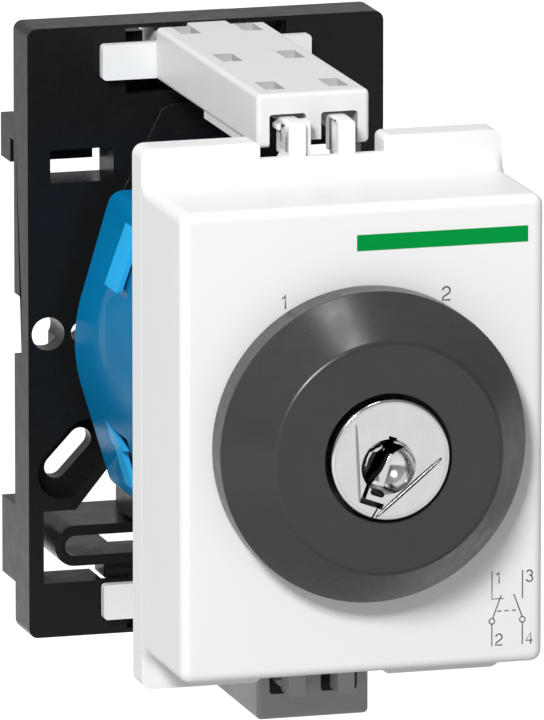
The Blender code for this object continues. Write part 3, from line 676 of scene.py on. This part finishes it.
def din_latch():
    """The sprung loop that slides down to let the rail go."""
    outer = rectangle((-LATCH_X, LATCH_X), (LATCH_FLOOR, LATCH_TOP), LATCH_CORNER, 10)
    inner = rectangle((LATCH_WALL - LATCH_X, LATCH_X - LATCH_WALL),
                      (LATCH_FLOOR + LATCH_WALL - 0.02, LATCH_TOP - LATCH_WALL), LATCH_INNER_CORNER, 8)
    latch = extruded("din_latch_skin", [outer, inner], (HOOK_OUT, BASE_OUT))
    soften(latch, 0.16, 3)
    root = LATCH_TOP - 0.6
    lip_profile = [(-HOOK_OUT, root), (-HOOK_OUT, LATCH_REACH - 1.4), (-HOOK_OUT - 1.4, LATCH_REACH),
                   (1.3, LATCH_REACH), (1.3, root)]
    lip = extruded("latch_lip", [lip_profile], (-LATCH_LIP_X, LATCH_LIP_X), PANEL @ SIDE)
    solids = [soften(lip, 0.2)]
    for side in (1, -1):
        leg = block("leg", mirrored((6.4, 10.1), side), (-25.0, LATCH_FLOOR + 0.6), (0.4, 4.1))
        solids.append(soften(leg, 0.25))
    join(latch, *solids)
    cut(latch, block("latch_relief", (-8.6, 8.6), (-24.0, LATCH_FLOOR + LATCH_WALL + 0.4), (-6, 0.0)))
    return piece_of(latch, BLACK_MOULDING, "black_moulding", "latch", "din_latch")


# ---------------------------------------------------------------- arms and clips

def arm(node, side, top, material, shadow, slot):
    """One U-section arm, with its pockets, its dividing rib and its rear tab."""
    def up(low, high):
        return mirrored((low, high), side)

    inner_x = ARM_X - ARM_WALL
    beam = block(node + "_skin", (-ARM_X, ARM_X), up(ARM_FOOT, top), ARM_OUT)
    soften(beam, 0.5, 4)
    foot = up(24.0, ARM_CEILING)
    channels = [soften(block("channel", x, foot, (-5, 60)), 0.3, 3)
                for x in ((-inner_x, -RIB_HALF), (RIB_HALF, inner_x))]
    cutters = channels + [block("rib_foot", (-1.5, 1.5), up(24.0, 25.6), (-5, 60))]
    for row in range(3):
        for column in (-1, 1):
            start = ARM_OUT[0] + 0.45 + HOLE_PITCH * row
            cutters.append(block("hole", mirrored(HOLE_X, column), up(HOLE_FLOOR, 32.0),
                                 (start, start + HOLE_LENGTH)))
    cut(beam, *cutters)
    tab = soften(block("tab", (-2.0, 2.0), up(29.35, top), (5.35, ARM_OUT[0] + 1.5)), 0.15)
    ledges = [block("ledge", x, up(24.25, 25.6), (23.0, 38.5))
              for x in ((-ARM_X + 0.3, -ARM_X + 0.75), (ARM_X - 0.75, ARM_X - 0.3))]
    join(beam, tab, *ledges)
    soften(beam, 0.07, 2, 50.0)
    piece_of(beam, material, slot, "frame", node)
    # Painted shade: the walls of the pockets and the faces inside the channels take the darker copy of the
    # arm's material.
    beam.data.materials.append(shadow)
    for face in beam.data.polygons:
        x = abs(face.center.x) / MM
        height = abs(face.center.z) / MM
        out = -face.center.y / MM
        in_pocket = 28.5 < height < top - 0.1 and 2.0 < x < 4.3
        in_channel = height < ARM_CEILING + 0.05 and x < inner_x + 0.05
        if (in_pocket or in_channel) and ARM_OUT[0] + 0.3 < out < ARM_OUT[1] - 0.1:
            face.material_index = 1
    return beam


def clip(node, side):
    """The cross-bar plate that snaps through the base and carries an arm."""
    def up(low, high):
        return mirrored((low, high), side)

    plate = extruded(node + "_skin", [rectangle(CLIP_X, up(*CLIP_UP), 0.4)], CLIP_OUT)
    soften(plate, 0.32, 4)
    solids = [soften(block("stub", (-4.9, 4.9), up(26.3, 29.3), (-0.9, 5.9)), 0.15),
              soften(block("barb", (-3.6, 3.6), up(28.9, 30.2), (-0.9, -0.3)), 0.12)]
    for column in (-1, 1):
        peg = block("peg", mirrored((1.1, 4.15), column), up(26.0, 27.9), (6.2, 11.0))
        solids.append(soften(peg, 0.2))
    join(plate, *solids)
    return piece_of(plate, COVER_WHITE, "cover_white", "frame", node)


# ---------------------------------------------------------------- front cover

def flange_half_outline():
    """Half of the cover's flange, from the foot of its upper prong round to its lower notch."""
    inner, outer = PRONG_X
    return [(inner, NOTCH_FLOOR, 0.25), (inner, PRONG_TOP, 0.3), (outer, PRONG_TOP, 0.45),
            (outer, NOTCH_FLOOR, 1.25), (NOTCH_X, NOTCH_FLOOR, 0.5), (NOTCH_X, COVER_UP, 0.6),
            (COVER_X, COVER_UP, 1.1), (COVER_X, -COVER_UP, 1.1), (NOTCH_X, -COVER_UP, 0.6),
            (NOTCH_X, -NOTCH_FLOOR, 0.5)]


def prong_barb(column, side):
    """The small wedge behind a prong's tip."""
    corners = [(2.9, PRONG_TOP - 0.2), (3.72, 27.15), (3.68, 26.75), (2.9, 26.75)]
    wedge = [(column * x, side * up) for x, up in corners]
    return soften(extruded("barb", [wedge], (PRONG_REAR + 0.2, BARB_OUT)), 0.08, 2)


def prong_back(column, side):
    """What a prong has behind the flange: its full depth and the step on its inner side."""
    body = block("prong_body", mirrored(PRONG_X, column),
                 mirrored((NOTCH_FLOOR + 0.6, PRONG_TOP - 0.02), side), (PRONG_REAR, FLANGE_OUT - 1.0))
    step = block("prong_step", mirrored((0.85, PRONG_X[0] + 0.3), column),
                 mirrored((NOTCH_FLOOR - 0.4, PRONG_TOP - 0.1), side), (BARB_OUT, FLANGE_OUT - 0.8))
    return [soften(body, 0.25, 3), soften(step, 0.1, 2)]


def nose():
    """The cover's raised front, with a rounded front edge and a hollow fillet at its foot."""
    def ring(half_x, half_up, radius, out):
        outline = rectangle((-half_x, half_x), (-half_up, half_up), radius, 6)
        return [(x, up, out) for x, up in outline]

    steps = 8
    rings = [ring(NOSE_X, NOSE_UP + NOSE_FILLET, NOSE_CORNER, FLANGE_OUT - 0.8)]
    for step in range(steps + 1):
        angle = math.radians(90.0 * step / steps)
        half_up = NOSE_UP + NOSE_FILLET * (1 - math.sin(angle))
        out = FLANGE_OUT + NOSE_FILLET * (1 - math.cos(angle))
        rings.append(ring(NOSE_X, half_up, NOSE_CORNER, out))
    for step in range(steps + 1):
        angle = math.radians(90.0 * step / steps)
        inset = NOSE_ROUND * (1 - math.cos(angle))
        out = NOSE_OUT - NOSE_ROUND * (1 - math.sin(angle))
        rings.append(ring(NOSE_X - inset, NOSE_UP - inset, NOSE_CORNER - 0.9 * inset, out))
    return lofted("nose", rings)


def front_cover():
    """The white push-fit cover: flange, nose and upper prongs, hollow behind."""
    cover = extruded("front_cover_skin", [rounded(both_sides(flange_half_outline()))],
                     (COVER_REAR, FLANGE_OUT))
    soften(cover, 0.38, 4)
    join(cover, nose(), prong_barb(-1, 1), prong_barb(1, 1), *prong_back(-1, 1), *prong_back(1, 1))
    cavity = block("cavity", (-CAVITY_X, CAVITY_X), (-CAVITY_UP, CAVITY_UP),
                   (COVER_REAR - 1, NOSE_OUT - 1.8))
    cutters = [cavity, rod("lock_hole", (0, 0), LOCK_HOLE_R, (NOSE_OUT - 4, NOSE_OUT + 1), 96)]
    for side in (1, -1):
        for column in (-1, 1):
            cutters.append(block("shoulder_pocket", mirrored((7.3, 16.6), column),
                                 mirrored((22.4, 25.1), side), (COVER_REAR - 1, FLANGE_OUT - 1.4)))
    cut(cover, *cutters)
    lower_prongs()
    return piece_of(cover, COVER_WHITE, "cover_white", "frame", "front_cover")


def lower_prongs():
    """The grey pair that hold the lower arm."""
    inner, outer = PRONG_X
    for word, column in (("left", -1), ("right", 1)):
        outline = rectangle(mirrored((inner, outer), column), (-PRONG_TOP, 0.6 - NOTCH_FLOOR), 0.2, 3)
        prong = soften(extruded("lower_prong_" + word, [outline], (COVER_REAR + 0.4, FLANGE_OUT)), 0.18)
        join(prong, prong_barb(column, -1))
        piece_of(prong, ARM_GREY, "arm_grey", "frame")


# ---------------------------------------------------------------- printing on the cover

PRINT_OUT = (NOSE_OUT - 0.02, NOSE_OUT + 0.025)


def inked(name, paths, width):
    """Printed lines of one width along paths of panel points."""
    curve = bpy.data.curves.new(name, "CURVE")
    curve.dimensions = "3D"
    curve.bevel_depth = width / 2 * MM
    curve.bevel_resolution = 2
    curve.use_fill_caps = True
    for path in paths:
        spline = curve.splines.new("POLY")
        spline.points.add(len(path) - 1)
        for point, (x, up) in zip(spline.points, path):
            point.co = (x * MM, up * MM, 0.0, 1.0)
    mesh = curve_mesh(name, curve)
    flat = Matrix.Diagonal((1.0, 1.0, 0.3, 1.0))
    piece = as_object(name, mesh, PANEL @ Matrix.Translation((0, 0, NOSE_OUT * MM)) @ flat)
    return piece_of(piece, GREY_INK, "cover_white", "frame")


def numeral_paths(text):
    """A number's strokes in a box one high and about 0.6 wide, centred on zero."""
    if text == "1":
        return [[(-0.17, 0.27), (0.0, 0.34), (0.08, 0.5), (0.08, -0.5)]]
    if text == "2":
        bowl = arc((0.0, 0.22), 0.28, 170, -35, 12)
        return [bowl + [(-0.22, -0.24), (-0.3, -0.47), (0.3, -0.47)]]
    if text == "3":
        upper = arc((0.0, 0.24), 0.25, 160, -80, 12)
        lower = arc((0.0, -0.22), 0.28, 80, -165, 14)
        return [upper + lower]
    return [[(0.14, -0.5), (0.14, 0.47), (-0.3, -0.2), (0.3, -0.2)]]


def numeral(name, text, centre, height):
    paths = [[(centre[0] + x * height, centre[1] + up * height) for x, up in path]
             for path in numeral_paths(text)]
    return inked(name, paths, 0.135 * height)


def cover_printing():
    """The plain green bar, the numbers of the two positions and the wiring symbol."""
    bar = extruded("green_bar", [rectangle((-0.66, 16.13), (18.15, 19.7))], PRINT_OUT)
    piece_of(bar, GREEN_INK, "cover_white", "frame")
    numeral("position_1", "1", (-7.75, 13.7), 1.3)
    numeral("position_2", "2", (8.1, 13.6), 1.3)
    for text, centre in (("1", (13.3, -14.15)), ("3", (16.38, -14.15)),
                         ("2", (13.38, -20.18)), ("4", (16.38, -20.2))):
        numeral("contact_" + text, text, centre, 1.1)
    wiring_symbol()


def wiring_symbol():
    """Two contacts that change over together, drawn with thin strokes."""
    left, right = 12.69, 15.7
    paths = [[(left, -13.5), (left, -16.2), (13.83, -16.2)], [(13.61, -15.84), (12.76, -18.08)],
             [(left, -18.62), (left, -20.75)], [(right, -13.54), (right, -16.29)],
             [(14.84, -15.82), (15.68, -18.07)], [(right, -18.62), (right, -20.75)]]
    for dash in range(3):
        start = 13.21 + 0.72 * dash
        paths.append([(start, -17.4), (start + 0.42, -17.4)])
    for x in (left, right):
        paths.append(arc((x, -18.35), 0.27, 0, 360, 20))
    inked("wiring_symbol", paths, 0.12)


# ---------------------------------------------------------------- bezel and lock

def key_bezel():
    """The conical collar, its rim and face rounded, and its shank through the cover."""
    face = arc((10.75, BEZEL_FACE - 0.7), 0.7, 90, 38, 8)
    rim = arc((14.55, 62.5), 0.4, 38, 0, 6)
    back = arc((BEZEL_R - 0.25, BEZEL_BACK + 0.25), 0.25, 0, -90, 4)
    bore = arc((BEZEL_BORE_R + 0.15, BEZEL_FACE - 0.15), 0.15, 180, 90, 4)
    profile = bore + face + rim + back + [(SHANK_R, BEZEL_BACK), (SHANK_R, SHANK_END),
                                          (BEZEL_BORE_R, SHANK_END)]
    bezel = turned("key_bezel_skin", profile, 160)
    return piece_of(bezel, BEZEL_BLACK, "bezel_black", "frame", "key_bezel")


def key_slot_cutters(there):
    """The stepped opening for the key and the pockets below it, upright before they lean."""
    opening = [(-0.68, 3.0), (0.17, 3.0), (0.17, 2.4), (1.4, 2.4), (0.95, 1.4), (0.95, -1.95),
               (-0.4, -1.95), (-0.1, 1.5), (-0.45, 1.9)]
    foot_rod = capsule((-0.25, -2.5), (0.6, -2.5), 0.3, 8)
    foot_bar = rectangle((-1.2, 1.16), (-3.85, -3.3))
    link = rectangle((-1.15, -0.75), (-3.5, -1.9))
    hook = [(0.62, -3.7), (0.8, -3.7), (0.52, -5.2), (0.34, -5.2)]
    # The recess beside the opening carries the dark copy of the chrome, a painted reflection standing for
    # the dark left half of the dish.
    beside = [(-0.55, 2.2), (-0.62, 1.35), (-0.95, 0.95), (-1.4, 0.9), (-1.75, 0.3), (-1.67, -0.7),
              (-1.1, -1.65), (-0.5, -2.2), (-0.3, -1.7), (0.0, 0.5), (-0.2, 1.6)]
    cutters = [extruded("opening", [opening], (53.0, 70.0), there),
               extruded("beside", [beside], (PLUG_FACE - 3.2, 70.0), there)]
    for name, outline in (("foot_rod", foot_rod), ("foot_bar", foot_bar), ("link", link), ("hook", hook)):
        cutters.append(extruded(name, [outline], (PLUG_FACE - 1.1, 70.0), there))
    return cutters


def lock_plug():
    """The plated rotor that the key goes into."""
    edge = arc((PLUG_FACE_R - 0.22, PLUG_FACE - 0.22), 0.22, 90, 0, 5)
    clip_groove = [(PLUG_R, 51.2), (3.5, 51.2), (3.5, 50.4), (PLUG_R, 50.4)]
    profile = ([(0.0, PLUG_FACE)] + edge + [(PLUG_FACE_R, PLUG_SHOULDER), (PLUG_R, PLUG_SHOULDER)]
               + clip_groove + [(PLUG_R, PLUG_END), (0.0, PLUG_END)])
    plug = turned("lock_plug_skin", profile, 128)
    join(plug, block("plug_tail", (-2.7, 2.7), (-1.0, 1.0), (47.2, 50.5)))
    dish = turned("dish", arc((0.0, PLUG_FACE + DISH_RISE), DISH_R, 90, -90, 24), 64, DISH_CENTRE)
    lean = Matrix.Rotation(math.radians(-KEYWAY_TILT), 4, "Z")
    there = PANEL @ Matrix.Translation((KEYWAY_CENTRE[0] * MM, KEYWAY_CENTRE[1] * MM, 0)) @ lean
    groove_profile = [(5.5, 70.0), (5.5, 69.0), (5.42, 68.3), (5.34, 69.0), (5.34, 70.0)]
    groove = turned("groove", groove_profile, 128)
    cut(plug, dish, groove, *key_slot_cutters(there))
    lock_ribs()
    keyway_leaves(there)
    piece_of(plug, CHROME, "lock_chrome", "key_rotor", "lock_plug")
    # Painted shade and painted reflection: faces inside the keyway and its recesses, off the dish, take the
    # dark copy of the chrome.
    plug.data.materials.append(LOCK_SHADE)
    centre = Vector((*DISH_CENTRE, PLUG_FACE + DISH_RISE))
    for face in plug.data.polygons:
        spot = Vector((face.center.x, face.center.z, -face.center.y)) / MM
        in_dish = abs((spot - centre).length - DISH_R) < 0.03
        near_axis = math.hypot(spot.x, spot.y) < (5.3 if spot.z > 66.2 else 4.1)
        if near_axis and not in_dish and 52.9 < spot.z < PLUG_FACE - 0.03:
            face.material_index = 1
    return plug


def lock_ribs():
    """The two thin raised lines on the lock's face, in darker copies of the chrome that paint their shade
    and reflections; the right one has dark painted shade along its sides under a lighter crest.
    """
    # Painted shade and painted reflection: the right rib's sides take the dark copy of the chrome, its
    # crest and the left rib the grey one.
    ribs = (("rib_left", (-3.4, 3.6), (-3.05, -3.9), 0.17, 0.05, RIB_PAINTED_SHADE),
            ("rib_right", (4.95, -0.1), (-1.5, -5.4), 0.25, 0.05, LOCK_SHADE),
            ("rib_right_crest", (4.8, -0.22), (-1.4, -5.3), 0.08, 0.1, RIB_PAINTED_SHADE))
    for name, start, end, half, height, material in ribs:
        piece_of(face_rib(name, start, end, half, height), material, "lock_chrome", "key_rotor")


def keyway_leaves(there):
    """The blade that leans in the keyway and the bright wafer beside it."""
    leaf = [(0.4, 1.35), (0.72, 1.4), (0.9, -1.9), (-0.36, -1.95), (-0.12, -1.3), (0.18, -0.4)]
    blade = extruded("keyway_blade", [leaf], (PLUG_FACE - 2.6, PLUG_FACE - 1.0), there)
    piece_of(soften(blade, 0.06, 2), CHROME, "lock_chrome", "key_rotor")
    lip = [(-2.1, -0.8), (-1.95, -0.8), (-1.75, -0.1), (-1.35, 0.55), (-0.9, 0.55), (-0.45, 0.85),
           (-0.4, 1.2), (-0.75, 1.45), (-1.25, 1.25), (-1.6, 0.75), (-1.9, 0.1)]
    wafer = extruded("keyway_wafer", [lip], (PLUG_FACE - 1.75, PLUG_FACE - 1.45))
    piece_of(soften(wafer, 0.05, 2), CHROME, "lock_chrome", "key_rotor")


def gap_shade_washer():
    """The black washer in front of the barrel: a dark piece put there so that the gap round the plug shows
    dark, standing for its shade.
    """
    washer = turned("gap_shade_washer", [(6.1, 65.95), (6.1, 65.75), (4.5, 65.75), (4.5, 65.95)], 96)
    return piece_of(washer, BLACK_NYLON, "black_nylon", "frame")


def face_rib(name, start, end, thick, height):
    """A thin raised line on the lock's face, tapering to its ends."""
    run = Vector(end) - Vector(start)
    along = run.normalized()
    across = Vector((-along.y, along.x))
    rings = []
    for part in range(13):
        share = (1 - math.cos(math.pi * part / 12)) / 2
        middle = Vector(start) + run * share
        half = 0.02 + (thick - 0.02) * math.sin(math.pi * share) ** 0.25
        ring = []
        for angle in (0, 45, 90, 135, 180, 225, 270, 315):
            turn = math.radians(angle)
            point = middle + across * half * math.cos(turn)
            ring.append((point.x, point.y, PLUG_FACE - 0.01 + height * math.sin(turn)))
        rings.append(ring)
    return lofted(name, rings)


# ---------------------------------------------------------------- rotary switch

def body_outline():
    """Flat top and bottom with flanks that lean out to a soft waist."""
    half = [(10.63, BODY_UP, 1.6), (WAIST_X, 0.0, 15.7), (10.63, -BODY_UP, 1.6)]
    return rounded(both_sides(half), 12)


def contact_housing():
    """The translucent body: a cam chamber, a channel for the bridges and four terminal bays."""
    body = extruded("contact_housing_skin", [body_outline()], (BODY_BACK, BODY_FRONT))
    soften(body, 0.3, 3)
    channel = both_sides([(12.2, 6.3, 0), (13.2, 4.9, 0), (13.2, -4.9, 0), (12.2, -6.3, 0)])
    cutters = [rod("chamber", (0, 0), 7.2, (10.3, BODY_FRONT + 1), 64),
               extruded("bridge_channel", [rounded(channel)], (16.2, 23.8))]
    for side in (1, -1):
        for row in (1, -1):
            cutters.append(block("bay", mirrored((6.6, 10.0), side), mirrored((5.5, BAY_UP), row), BAY_OUT))
            mouth_up = mirrored((6.9, BAY_UP), row)
            cutters.append(block("mouth", mirrored((9.0, 17.0), side), mouth_up, BAY_OUT))
    for row in (1, -1):
        centre = (row * TIE[0], row * TIE[1])
        cutters.append(rod("tie_hole", centre, 1.2, (BODY_BACK + 2, BODY_FRONT + 1), 24))
    cut(body, *cutters)
    piece_of(body, HOUSING_BLUE, "housing_blue", "frame", "contact_housing")
    body.data.materials.append(INNER_BLUE)
    for face in body.data.polygons:
        x = face.center.x / MM
        up = face.center.z / MM
        out = -face.center.y / MM
        inside = abs(x) < flank_x(up) - 0.35 and abs(up) < 14.4
        if inside and BODY_BACK - 0.1 < out < BODY_FRONT - 0.2:
            face.material_index = 1
    return body


def flank_x(up):
    """How far out the leaning flank is at a height."""
    return WAIST_X - FLANK_LEAN * abs(up) / BODY_UP - WAIST_DROP * math.exp(-(up / WAIST_HALF_UP) ** 2)


def terminal_guards():
    """The thin leaves in the wire mouths, in line with the flanks, in a brighter blue that is painted
    light, and a screen behind each.
    """
    upper = [(13.0, 16.0, 20.4), (6.8, 15.0, 19.5)]
    lower = [(-6.5, 15.6, 15.9), (-8.7, 15.2, 20.2), (-9.0, 16.1, 18.9), (-12.9, 16.0, 18.9)]
    for word, side in (("left", -1), ("right", 1)):
        for row, levels in (("upper", upper), ("lower", lower)):
            rings = []
            for up, near, far in levels:
                x = side * (flank_x(up) + 0.02)
                deep = x - side * 0.5
                rings.append([(x, up, near), (x, up, far), (deep, up, far), (deep, up, near)])
            guard = lofted(f"terminal_guard_{word}_{row}", rings)
            # Painted light: the leaf takes the brighter copy of the housing blue.
            piece_of(guard, GUARD_PAINTED_LIGHT_BLUE, "housing_blue", "frame")
        for row, up_from, up_to in (("upper", 12.85, 6.95), ("lower", -6.95, -12.85)):
            rings = []
            for up in (up_from, up_to):
                x = side * (flank_x(up) - 0.8)
                deep = x - side * 0.5
                rings.append([(x, up, 18.5), (x, up, 22.7), (deep, up, 22.7), (deep, up, 18.5)])
            screen = lofted(f"terminal_screen_{word}_{row}", rings)
            piece_of(screen, HOUSING_BLUE, "housing_blue", "frame")


def coil_points(radius, length, wire, turns=5, steps=24):
    """A helix along z whose first and last turns lie flat."""
    closed = 2.2 * wire
    points = []
    for step in range(turns * steps + 1):
        turn = step / steps
        rise = closed * min(turn, 1.0) + closed * max(turn - (turns - 1), 0.0)
        rise += (length - 2 * closed) * min(max((turn - 1) / (turns - 2), 0.0), 1.0)
        angle = math.tau * turn
        points.append((radius * math.cos(angle), radius * math.sin(angle), rise))
    return points


def spring(node, joint, travel, along, fixed_end, wire):
    """A compression spring coiled to fill the box of the CAD node it stands for."""
    low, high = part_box(node)
    size = high - low
    across = [index for index in range(3) if index != along]
    radius = min(size[across[0]], size[across[1]]) / 2 - wire * MM
    curve = bpy.data.curves.new(node + "_coil", "CURVE")
    curve.dimensions = "3D"
    curve.bevel_depth = wire * MM
    curve.bevel_resolution = 3
    curve.use_fill_caps = True
    points = coil_points(radius, size[along] - 2 * wire * MM, wire * MM)
    line = curve.splines.new("POLY")
    line.points.add(len(points) - 1)
    for place, (first, second, rise) in zip(line.points, points):
        spot = (low + high) / 2
        spot[across[0]] += first
        spot[across[1]] += second
        spot[along] = low[along] + wire * MM + rise
        place.co = (*spot, 1.0)
    coil = as_object(node + "_coil", curve_mesh(node + "_coil", curve))
    piece_of(coil, STEEL, "zinc_steel", "frame", node)
    anchor = list((low + high) / 2)
    anchor[along] = fixed_end * MM
    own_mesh(coil)


# ---------------------------------------------------------------- studio

def pool(material, place, centre, size, turn, reach, tones):
    """An oval field on the floor: its first tone inside, its second one well outside."""
    nodes = material.node_tree.nodes
    links = material.node_tree.links
    oval = nodes.new("ShaderNodeMapping")
    oval.vector_type = "TEXTURE"
    oval.inputs["Location"].default_value = (*centre, FLOOR_LEVEL)
    oval.inputs["Rotation"].default_value = (0.0, 0.0, math.radians(turn))
    oval.inputs["Scale"].default_value = (*size, 1.0)
    distance = nodes.new("ShaderNodeVectorMath")
    distance.operation = "LENGTH"
    fade = nodes.new("ShaderNodeMapRange")
    fade.interpolation_type = "SMOOTHSTEP"
    fade.inputs["From Min"].default_value, fade.inputs["From Max"].default_value = reach
    fade.inputs["To Min"].default_value, fade.inputs["To Max"].default_value = tones
    links.new(place.outputs["Object"], oval.inputs["Vector"])
    links.new(oval.outputs["Vector"], distance.inputs[0])
    links.new(distance.outputs["Value"], fade.inputs["Value"])
    return fade.outputs["Result"]


def multiplied(material, first, second):
    node = material.node_tree.nodes.new("ShaderNodeMath")
    node.operation = "MULTIPLY"
    material.node_tree.links.new(first, node.inputs[0])
    material.node_tree.links.new(second, node.inputs[1])
    return node.outputs["Value"]


def floor():
    """A wide pale floor that glows white behind the object and less round it, with a painted shadow under
    and in front of the object where it glows least.
    """
    mesh = bpy.data.meshes.new("studio_floor")
    grid = bmesh.new()
    bmesh.ops.create_grid(grid, x_segments=1, y_segments=1, size=FLOOR_HALF_SIZE)
    grid.to_mesh(mesh)
    grid.free()
    ground = as_object("studio_floor", mesh, Matrix.Translation((0, 0, FLOOR_LEVEL)))
    material, shader = new_material("studio_floor", (0.25, 0.25, 0.25), 0.9, specular=0.1)
    shader.inputs["Emission Color"].default_value = (1.0, 1.0, 1.0, 1.0)
    place = material.node_tree.nodes.new("ShaderNodeTexCoord")
    behind = pool(material, place, (0.072, 0.3), (0.06, 0.24), -15.6, (1.0, 2.1), (0.99, 0.48))
    # Painted shadow: the floor's glow falls to about a third under and in front of the object.
    painted_shadow = pool(material, place, (0.06, -0.05), (0.2, 0.11), 0.0, (0.4, 1.2), (0.32, 1.0))
    light = multiplied(material, behind, painted_shadow)
    material.node_tree.links.new(light, shader.inputs["Emission Strength"])
    mesh.materials.append(material)


def area_light(name, place, aim, size, power):
    data = bpy.data.lights.new(name, "AREA")
    data.shape = "RECTANGLE"
    data.size, data.size_y = size
    data.energy = power
    lamp = bpy.data.objects.new(name, data)
    lamp.location = place
    lamp.rotation_euler = (Vector(aim) - Vector(place)).to_track_quat("-Z", "Y").to_euler()
    bpy.context.scene.collection.objects.link(lamp)


def lights():
    """A weak box overhead and a strong lamp from the front left."""
    area_light("top_left_box", (-0.05, -0.05, 0.44), LIGHT_AIM, (0.18, 0.11), 0.52)
    area_light("front_key", (-0.4, -0.75, 0.5), LIGHT_AIM, (0.18, 0.18), 7.9)


def surroundings():
    """White to the eye, and a softer grey as light and in reflections."""
    world = bpy.data.worlds.new("studio")
    world.use_nodes = True
    nodes = world.node_tree.nodes
    links = world.node_tree.links
    background = nodes["Background"]
    background.inputs["Color"].default_value = (1.0, 1.0, 1.0, 1.0)
    path = nodes.new("ShaderNodeLightPath")
    place = nodes.new("ShaderNodeTexCoord")
    lean = nodes.new("ShaderNodeVectorMath")
    lean.operation = "DOT_PRODUCT"
    lean.inputs[1].default_value = (-0.4, 0.75, 0.4)
    tone = nodes.new("ShaderNodeMapRange")
    tone.inputs["From Min"].default_value = -0.6
    tone.inputs["To Min"].default_value = 0.15
    tone.inputs["To Max"].default_value = 0.5
    spread = nodes.new("ShaderNodeMapRange")
    spread.inputs["To Max"].default_value = 1.0
    links.new(place.outputs["Generated"], lean.inputs[0])
    links.new(lean.outputs["Value"], tone.inputs["Value"])
    links.new(tone.outputs["Result"], spread.inputs["To Min"])
    links.new(path.outputs["Is Camera Ray"], spread.inputs["Value"])
    links.new(spread.outputs["Result"], background.inputs["Strength"])
    bpy.context.scene.world = world


def camera():
    """A long lens at the photograph's viewing angle, with no depth of field."""
    data = bpy.data.cameras.new("camera")
    data.lens = CAMERA_LENS
    data.sensor_width = 36.0
    data.clip_end = 100.0
    eye = bpy.data.objects.new("camera", data)
    azimuth = math.radians(CAMERA_AZIMUTH)
    elevation = math.radians(CAMERA_ELEVATION)
    away = Vector((math.sin(azimuth) * math.cos(elevation), -math.cos(azimuth) * math.cos(elevation),
                   math.sin(elevation)))
    eye.location = Vector(CAMERA_AIM) + away * CAMERA_DISTANCE
    eye.rotation_euler = (-away).to_track_quat("-Z", "Y").to_euler()
    bpy.context.scene.collection.objects.link(eye)
    bpy.context.scene.camera = eye


# ---------------------------------------------------------------- build

bpy.context.scene.view_settings.view_transform = "Standard"
camera()
surroundings()
floor()
lights()
dress_cad_nodes()
base_plate()
din_latch()
arm("upper_arm", 1, ARM_TOP, ARM_PALE, PAINTED_SHADE_PALE, "arm_pale")
arm("lower_arm", -1, LOWER_ARM_TOP, ARM_GREY, PAINTED_SHADE_GREY, "arm_grey")
clip("upper_clip", 1)
clip("lower_clip", -1)
front_cover()
cover_printing()
key_bezel()
lock_plug()
gap_shade_washer()
contact_housing()
terminal_guards()
for spring_node, spring_sizes in SPRINGS.items():
    spring(spring_node, *spring_sizes)
